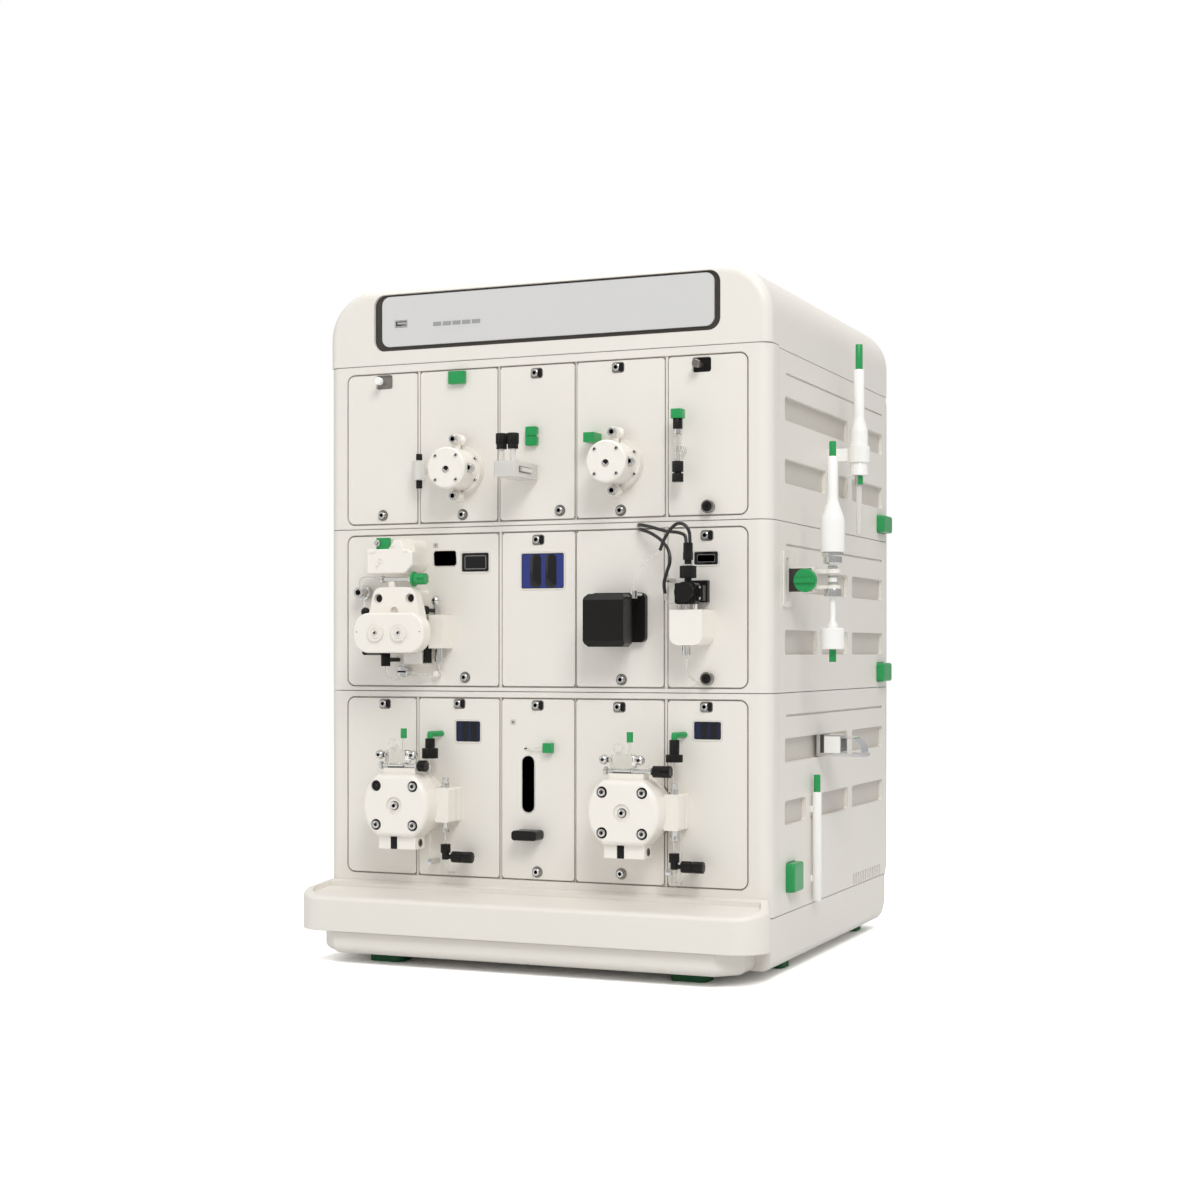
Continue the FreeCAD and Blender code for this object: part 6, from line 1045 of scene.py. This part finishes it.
class SteelFittings(Builder):
    """Bars, caps, nuts, balls and clips of steel on the front."""

    BARS = ((-145.0, -112.4, 299.0), (-145.9, -106.0, 127.8), (78.2, 123.9, 127.8))
    TUBE_CLIPS = ((-104.0, 36.0), (131.4, 36.0))

    def build(self) -> None:
        """Makes all steel fittings, and the dark sockets in them: black plates of painted shade in their screw
        sockets, bores and slots.
        """
        steel = Shape()
        dark = Shape()
        for left, right, z in self.BARS:
            steel.rod(2.0, right - left, (left, 33.0, z), Axis.RIGHT)
            steel.rod(1.5, 5.0, (right, 33.0, z), Axis.RIGHT)
            steel.turned([(0, 0), (3.0, 0), (3.6, 0.8), (3.6, 3.0), (2.1, 4.0)], (left - 0.6, 33.0, z),
                         Axis.RIGHT)
            steel.washer(3.2, 1.9, 2.4, (right - 3.4, 33.0, z), Axis.RIGHT)
        for x in Valves.X:
            for level in (27.5, -24.5):
                CapScrews.pair(steel, dark, 4.2, 5.0, (x, 16.0, Valves.Z + level), 1.5)
            CapScrews.pair(steel, dark, 4.2, 6.0, (x + 19.5, 22.0, Valves.Z), 1.8)
        for x in Pumps.X:
            self.pump_fittings(steel, dark, x)
        self.sample_fittings(steel, dark)
        self.holders(steel)
        self.piece("steel_parts", steel, Palette.STEEL, stands_for="steel_fittings")
        self.piece("steel_sockets", dark, Palette.BLACK)
        self.pale_knob()

    @staticmethod
    def pump_fittings(steel: Shape, dark: Shape, x: float) -> None:
        """Nuts above and below a side block, and the ball fittings of the clear block."""
        for low in (Pumps.Z + 15.9, Pumps.Z - 24.9):
            steel.prism([(3.75 * math.cos(math.tau * step / 6), 3.75 * math.sin(math.tau * step / 6))
                         for step in range(6)], 4.4, (x + Pumps.BLOCK_X, Pumps.BLOCK_H, low), Axis.UP, 0.3)
            steel.rod(3.3, 9.0, (x + Pumps.BLOCK_X, Pumps.BLOCK_H, low), Axis.UP)
        for step, side in ((-23.0, -15.0), (11.0, 6.0)):
            steel.ball(4.5, (x + step, 30.0, Pumps.Z + 45.5))
            left = min(step, side)
            steel.rod(1.7, abs(step - side), (x + left, 30.0, Pumps.Z + 45.5), Axis.RIGHT)
            # Black disc in the ball's bore: painted shade of the hole.
            dark.rod(1.5, 0.5, (x + step, 34.2, Pumps.Z + 45.5), edge=0.1)
            dark.washer(2.3, 1.6, 1.0, (x + (side + step) / 2 - 0.5, 30.0, Pumps.Z + 45.5), Axis.RIGHT)

    @staticmethod
    def sample_fittings(steel: Shape, dark: Shape) -> None:
        """Fittings round the sample pump."""
        steel.turned([(7.0, 0.0), (7.0, 5.4), (6.2, 6.0), (5.2, 6.2)], (-180.0, 0.0, 288.0))
        steel.screw(5.4, 9.4, (-180.0, 5.6, 288.0))
        CapScrews.socket(dark, 5.2, (-180.0, 9.2, 288.0))
        steel.turned([(4.4, 0.0), (4.4, 8.0), (5.8, 8.4), (5.8, 11.4), (5.2, 12.0), (0.0, 12.0)],
                     (-135.3, 0.0, 213.9))
        # Black sliver on the fitting's face: painted shade of its slot.
        dark.plate(-139.6, -131.0, 213.1, 214.7, 11.9, 12.15, 0.3, 0.0)
        steel.ball(4.5, (-100.0, 11.0, 279.5))
        steel.rod(2.2, 13.0, (-100.0, 11.0, 266.4), Axis.UP)
        # Black disc in the ball's bore: painted shade of the hole.
        dark.rod(1.3, 0.4, (-100.5, 15.2, 280.0), edge=0.1)
        steel.rod(3.4, 12.2, (-97.0, 11.0, 223.0), Axis.UP)
        steel.washer(4.0, 3.2, 3.0, (-97.0, 11.0, 225.0), Axis.UP)
        for side in (-12.0, 12.0):
            CapScrews.pair(steel, dark, 2.2, 1.6, (-127.0 + side, 56.0, 249.5), 0.5)
            dark.rod(0.55, 0.15, (-127.0 + side * 2.7, 54.0, 250.5), edge=0.05)

    @staticmethod
    def holders(steel: Shape) -> None:
        """Cell nut, bay fitting, clips for leads and tubes, and the rocker's cradle."""
        steel.grip(3.6, 0.6, 6, 8.4, (152.0, 26.0, 229.5), Axis.UP, 0.4)
        steel.rod(3.2, 7.0, (102.2, 25.0, 279.0), Axis.UP)
        steel.rod(1.6, 19.0, (102.2, 6.0, 282.5))
        steel.plate(129.4, 132.6, 293.0, 297.0, 0.0, 23.0, 0.8, 0.3)
        for x, low in SteelFittings.TUBE_CLIPS:
            steel.plate(x - 2.5, x + 2.5, low, low + 5.0, 0.0, 17.5, 1.2, 0.4)
        for side in (-6.45, 5.45):
            steel.plate(-6.4 + side, -6.4 + side + 1.0, 427.0, 430.2, 0.0, 4.2, 0.3, 0.1)
        steel.rod(0.8, 12.6, (-12.7, 2.6, 428.6), Axis.RIGHT, 0.1)

    def pale_knob(self) -> None:
        """The pale knob at the top of the first module."""
        stem = Shape()
        stem.turned([(2.2, -2.4), (2.2, 5.0), (2.8, 5.2), (2.8, 7.0)], (-161.0, 0.0, 486.0))
        self.piece("pale_knob_stem", stem, Palette.CHROME)
        knob = Shape()
        knob.turned([(0.0, 12.0), (2.9, 12.0), (3.6, 11.3), (3.6, 7.2), (2.9, 6.6), (0.0, 6.6)],
                    (-161.0, 0.0, 486.0))
        self.piece("pale_knob_cap", knob, Palette.COLUMN)


class SamplePump(Builder):
    """Trim of the mixer, the arch and the oval head."""

    def build(self) -> None:
        """Makes the slots, sockets, rings and the flag's screw."""
        dark = Shape()
        rims = Shape()
        for x in (-144.4, -111.6):
            dark.rod(3.5, 0.5, (x, 37.0, 281.4), edge=0.1)
            rims.washer(4.9, 4.2, 0.35, (x, 40.0, 281.4))
        for x in (-139.0, -115.0):
            rims.washer(5.3, 4.6, 0.6, (x, 56.0, 249.5))
            rims.washer(7.9, 7.2, 0.3, (x, 56.0, 249.5))
        for x0, x1, z in ((-155.6, -149.6, 324.4), (-121.4, -116.2, 324.6)):
            rims.plate(x0, x1, z - 1.0, z + 1.0, 36.0, 36.8, 0.9, 0.3)
        rims.washer(2.4, 1.5, 0.8, (-144.6, 36.0, 316.2))
        rims.rod(0.9, 3.0, (-147.0, 36.0, 312.4))
        rims.rod(1.6, 1.6, (-131.0, 36.0, 330.2))
        self.piece("sample_rims", rims, Palette.WARM)
        dark.plate(-150.0, -110.0, 231.0, 234.0, 30.0, 38.0, 0.6, 0.2)
        self.piece("sample_sockets", dark, Palette.BLACK)
        screw = Shape()
        screw.screw(3.0, 3.6, (-149.2, 31.0, 332.6))
        screw.rod(1.2, 9.0, (-149.2, 27.0, 332.6))
        self.piece("flag_screw", screw, Palette.STEEL)


class FlowCell(Builder):
    """Ribs, rings and screws of the black stack beside the detector."""

    X = 153.5
    H = 26.0

    def build(self) -> None:
        """Makes the trim of the stack."""
        ribs = Shape()
        ribs.grip(7.3, 0.4, 20, 10.5, (self.X, self.H, 296.3), Axis.UP, 0.5)
        ribs.grip(4.5, 0.35, 10, 7.0, (self.X, self.H, 312.0), Axis.UP, 0.4)
        ribs.washer(8.5, 7.6, 0.4, (self.X, 38.0, 284.1))
        ribs.rod(1.0, 0.4, (self.X, 38.0, 284.1), edge=0.1)
        self.piece("stack_ribs", ribs, Palette.BLACK)
        screws = Shape()
        for x, z in ((164.6, 288.2), (164.6, 278.6)):
            screws.screw(1.2, 0.8, (x, 27.0, z))
        screws.washer(4.6, 3.0, 1.0, (self.X, self.H, 307.0), Axis.UP)
        self.piece("stack_screws", screws, Palette.STEEL)
        pins = Shape()
        for dx in (-7.0, 0.0, 7.0):
            pins.rod(1.7, 4.6, (self.X - 1.0 + dx, 26.0, 268.9), Axis.UP, 0.2)
        self.piece("stack_pins", pins, Palette.STEEL)


class Columns(Builder):
    """The three columns on the right wall, each in the pieces of the real one."""

    def build(self) -> None:
        """Makes the columns with their caps, nuts and holders."""
        self.first()
        self.second()
        self.third()

    def first(self) -> None:
        """The column high on the wall."""
        place = beside(247.0, -8.5, 0.0)
        white = Shape()
        white.turned([(3.0, 399.9), (8.5, 399.9), (8.8, 400.4), (8.8, 401.4), (8.5, 402.0), (8.5, 440.4),
                      (8.1, 444.0), (5.4, 453.0), (5.0, 456.0), (5.0, 500.2), (4.6, 500.8), (3.0, 500.8)],
                     place, Axis.UP)
        white.turned([(8.6, 0.0), (10.4, 0.3), (10.4, 15.7), (8.6, 16.0)], (place[0], place[1], 412.0),
                     Axis.UP)
        white.prism([(-426.0, 188.0), (-414.0, 188.0), (-414.0, 195.0), (-426.0, 195.0)], 20.0,
                    (220.0, 0.0, 0.0), Axis.RIGHT, 0.4)
        self.piece("first_column_body", white, Palette.COLUMN, stands_for="column_one")
        caps = Shape()
        caps.grip(3.4, 0.25, 12, 23.8, (place[0], place[1], 501.0), Axis.UP, 0.6)
        caps.turned([(3.0, 390.6), (3.75, 390.6), (3.75, 399.6), (3.0, 399.6)], place, Axis.UP)
        self.piece("first_column_caps", caps, Palette.GREEN)
        steel = Shape()
        steel.turned([(3.1, 390.4), (3.9, 390.4), (3.9, 391.4), (3.1, 391.4)], place, Axis.UP)
        for angle in (200.0, 250.0):
            dx = 3.2 * math.cos(math.radians(angle))
            dy = 3.2 * math.sin(math.radians(angle))
            steel.rod(1.3, 9.0, (place[0] + dx, place[1] - dy, 390.6), Axis.UP)
        self.piece("first_column_ring", steel, Palette.STEEL)
        tube = Shape()
        tube.turned([(0.0, 344.5), (2.2, 344.5), (2.7, 345.4), (2.7, 390.4), (0.0, 390.4)], place, Axis.UP)
        self.piece("first_column_tube", tube, Palette.MILK)

    def second(self) -> None:
        """The long column in the sliding clamp."""
        place = beside(260.0, -144.8, 0.0)
        white = Shape()
        white.turned([(0.0, 320.3), (10.2, 320.3), (10.8, 321.0), (10.8, 348.6), (10.3, 351.2), (5.2, 365.4),
                      (4.6, 369.0), (4.6, 404.8), (4.2, 405.4), (0.0, 405.4)], place, Axis.UP)
        white.turned([(0.0, 234.5), (10.0, 234.5), (10.6, 235.2), (10.6, 252.8), (10.2, 253.3), (5.0, 253.3),
                      (5.0, 256.0), (2.7, 259.6), (2.7, 281.4), (0.0, 281.4)], place, Axis.UP)
        self.piece("second_column_body", white, Palette.COLUMN, "clamp", "column_two")
        steel = Shape()
        steel.turned([(0.0, 309.9), (7.6, 309.9), (8.4, 311.0), (8.4, 316.4), (9.6, 317.4), (9.6, 319.6),
                      (8.6, 320.4), (0.0, 320.4)], place, Axis.UP)
        steel.grip(7.5, 0.7, 6, 6.6, (place[0], place[1], 281.3), Axis.UP, 0.5)
        for low in (292.4, 298.0, 306.4):
            steel.washer(4.8, 3.0, 1.6, (place[0], place[1], low), Axis.UP)
        self.piece("second_column_steel", steel, Palette.STEEL, "clamp")
        core = Shape()
        core.turned([(0.0, 287.8), (3.9, 287.8), (3.9, 310.0), (0.0, 310.0)], place, Axis.UP)
        self.piece("second_column_core", core, Palette.COLUMN, "clamp")
        caps = Shape()
        caps.grip(3.1, 0.25, 12, 13.2, (place[0], place[1], 405.5), Axis.UP, 0.6)
        caps.grip(3.1, 0.25, 12, 11.2, (place[0], place[1], 223.3), Axis.UP, 0.6)
        self.piece("second_column_caps", caps, Palette.GREEN, "clamp")

    def third(self) -> None:
        """The short column low on the wall."""
        place = beside(225.5, -76.0, 0.0)
        white = Shape()
        white.turned([(0.0, 2.0), (3.8, 2.0), (4.2, 2.6), (4.2, 102.2), (3.9, 102.8), (0.0, 102.8)], place,
                     Axis.UP)
        for low in (20.0, 84.0):
            white.side_plate(-78.0, -74.0, low, low + 6.0, 220.0, 3.0, 0.4, 0.1)
        self.piece("third_column_body", white, Palette.COLUMN, stands_for="column_three")
        cap = Shape()
        cap.grip(3.1, 0.25, 12, 15.8, (place[0], place[1], 103.0), Axis.UP, 0.6)
        self.piece("third_column_cap", cap, Palette.GREEN)


class SideWalls(Builder):
    """Floors of the shallow windows in both side walls, in a darker cream that is painted shade of the
    recesses, and the parts of the clamp's slot, with a dark sheet of painted shade for the slot itself.
    """

    TOPS = (196.0, 348.0, 500.0)
    ROW_ONE = (41.0, 62.0)
    ROW_TWO = (96.5, 118.0)
    FRONT = -157.7
    REAR = 181.9
    DEPTH = 4.0
    RIB = (48.0, 64.5)
    EXTRA = ((-94.0, -78.0), (-58.0, -42.0), (-28.0, 17.0))

    def build(self) -> None:
        """Makes the window floors, darker as painted shade of the recesses, and the dark slot of the clamp
        plate, a sheet of painted shade.
        """
        floors = Shape()
        for side in (-1, 1):
            for top, extra in zip(self.TOPS, self.EXTRA):
                rows = [(self.ROW_ONE, (self.FRONT, self.RIB[0], self.RIB[1], self.REAR)),
                        (self.ROW_TWO, (self.FRONT, extra[0], extra[1], self.RIB[0], self.RIB[1], self.REAR))]
                for row, stops in rows:
                    for y0, y1 in zip(stops[0::2], stops[1::2]):
                        self.floor(floors, side, y0, y1, top - row[1], top - row[0])
        # The darker floors are painted shade of the recesses.
        self.piece("side_window_floor_shade", floors, Palette.RECESS_SHADE)
        # A dark sheet on the wall: painted shade of the clamp's slot.
        slot = Shape()
        slot.side_plate(-159.0, -154.0, 278.0, 315.2, 220.0, 0.3, 0.6, 0.0)
        self.piece("clamp_slot_shade", slot, Palette.DARK)
        back = Shape()
        back.side_plate(-152.6, -149.8, 285.6, 306.4, 222.2, 20.0, 0.6, 0.3)
        self.piece("clamp_shadow_plate", back, Palette.DARK, "clamp")

    @staticmethod
    def floor(shape: Shape, side: int, y0: float, y1: float, low: float, high: float) -> None:
        """The floor of one shallow window: a thin plate that carries the painted shade of the recess."""
        depth = HALF_WIDTH - SideWalls.DEPTH
        axis = Axis.RIGHT if side > 0 else Axis.LEFT
        outline = rounded(low + 0.2, high - 0.2, y0 + 0.2, y1 - 0.2, 2.8)
        outline = [(-side * z, y) for z, y in outline]
        shape.prism(outline, 0.12, (side * depth, -DEPTH / 2, 0.0), axis)


class Hook(Builder):
    """The pale block and dark strip of the hook on the right wall."""

    def build(self) -> None:
        """Makes the sleeve over the block and the strip beside it."""
        sleeve = Shape()
        sleeve.prism([(-153.6, -59.4), (-153.6, -35.6), (-138.2, -35.6), (-138.2, -59.4)], 15.4,
                     beside(227.6, 0.0, 0.0), Axis.RIGHT, 1.2)
        self.piece("hook_sleeve", sleeve, Palette.COLUMN)
        strip = Shape()
        strip.prism([(-155.2, -59.6), (-155.2, -35.4), (-138.1, -35.4), (-138.1, -59.6)], 3.4,
                    beside(223.6, 0.0, 0.0), Axis.RIGHT, 0.4)
        self.piece("hook_strip", strip, Palette.DARK)


class Rear(Builder):
    """Pins of the mains inlet and screws of the rear panel."""

    BACK = -DEPTH
    INLET_X = -150.0
    INLET_Z = 40.0
    PINS = ((-7.0, -2.0), (0.0, 3.0), (7.0, -2.0))

    def build(self) -> None:
        """Makes the small parts of the rear."""
        metal = Shape()
        for dx, dz in self.PINS:
            x = self.INLET_X + dx
            z = self.INLET_Z + dz
            metal.plate(x - 1.0, x + 1.0, z - 2.0, z + 2.0, self.BACK + 8.0, self.BACK + 14.0, 0.3, 0.2)
        for x in (-205.0, 0.0, 205.0):
            for z in (14.0, 250.0, 486.0):
                metal.screw(3.2, 1.8, (x, self.BACK, z), Axis.BACK)
        self.piece("rear_screws", metal, Palette.STEEL)


def main() -> None:
    """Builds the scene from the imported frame."""
    logging.basicConfig(level=logging.INFO, format="%(message)s")
    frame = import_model()
    datum = Datum.read()
    palette = Palette()
    Stage(datum, Lens()).build()
    CadDresser(datum, palette).dress(frame["nodes"])
    CapScrews(datum, palette).build(ScrewSizes())
    for maker in (Valves, Pumps, PanelTrim, UpperTier, BlackFittings, SteelFittings, SamplePump,
                  FlowCell, Columns, SideWalls, Hook, Rear):
        maker(datum, palette).build()


if __name__ == "__main__":
    main()
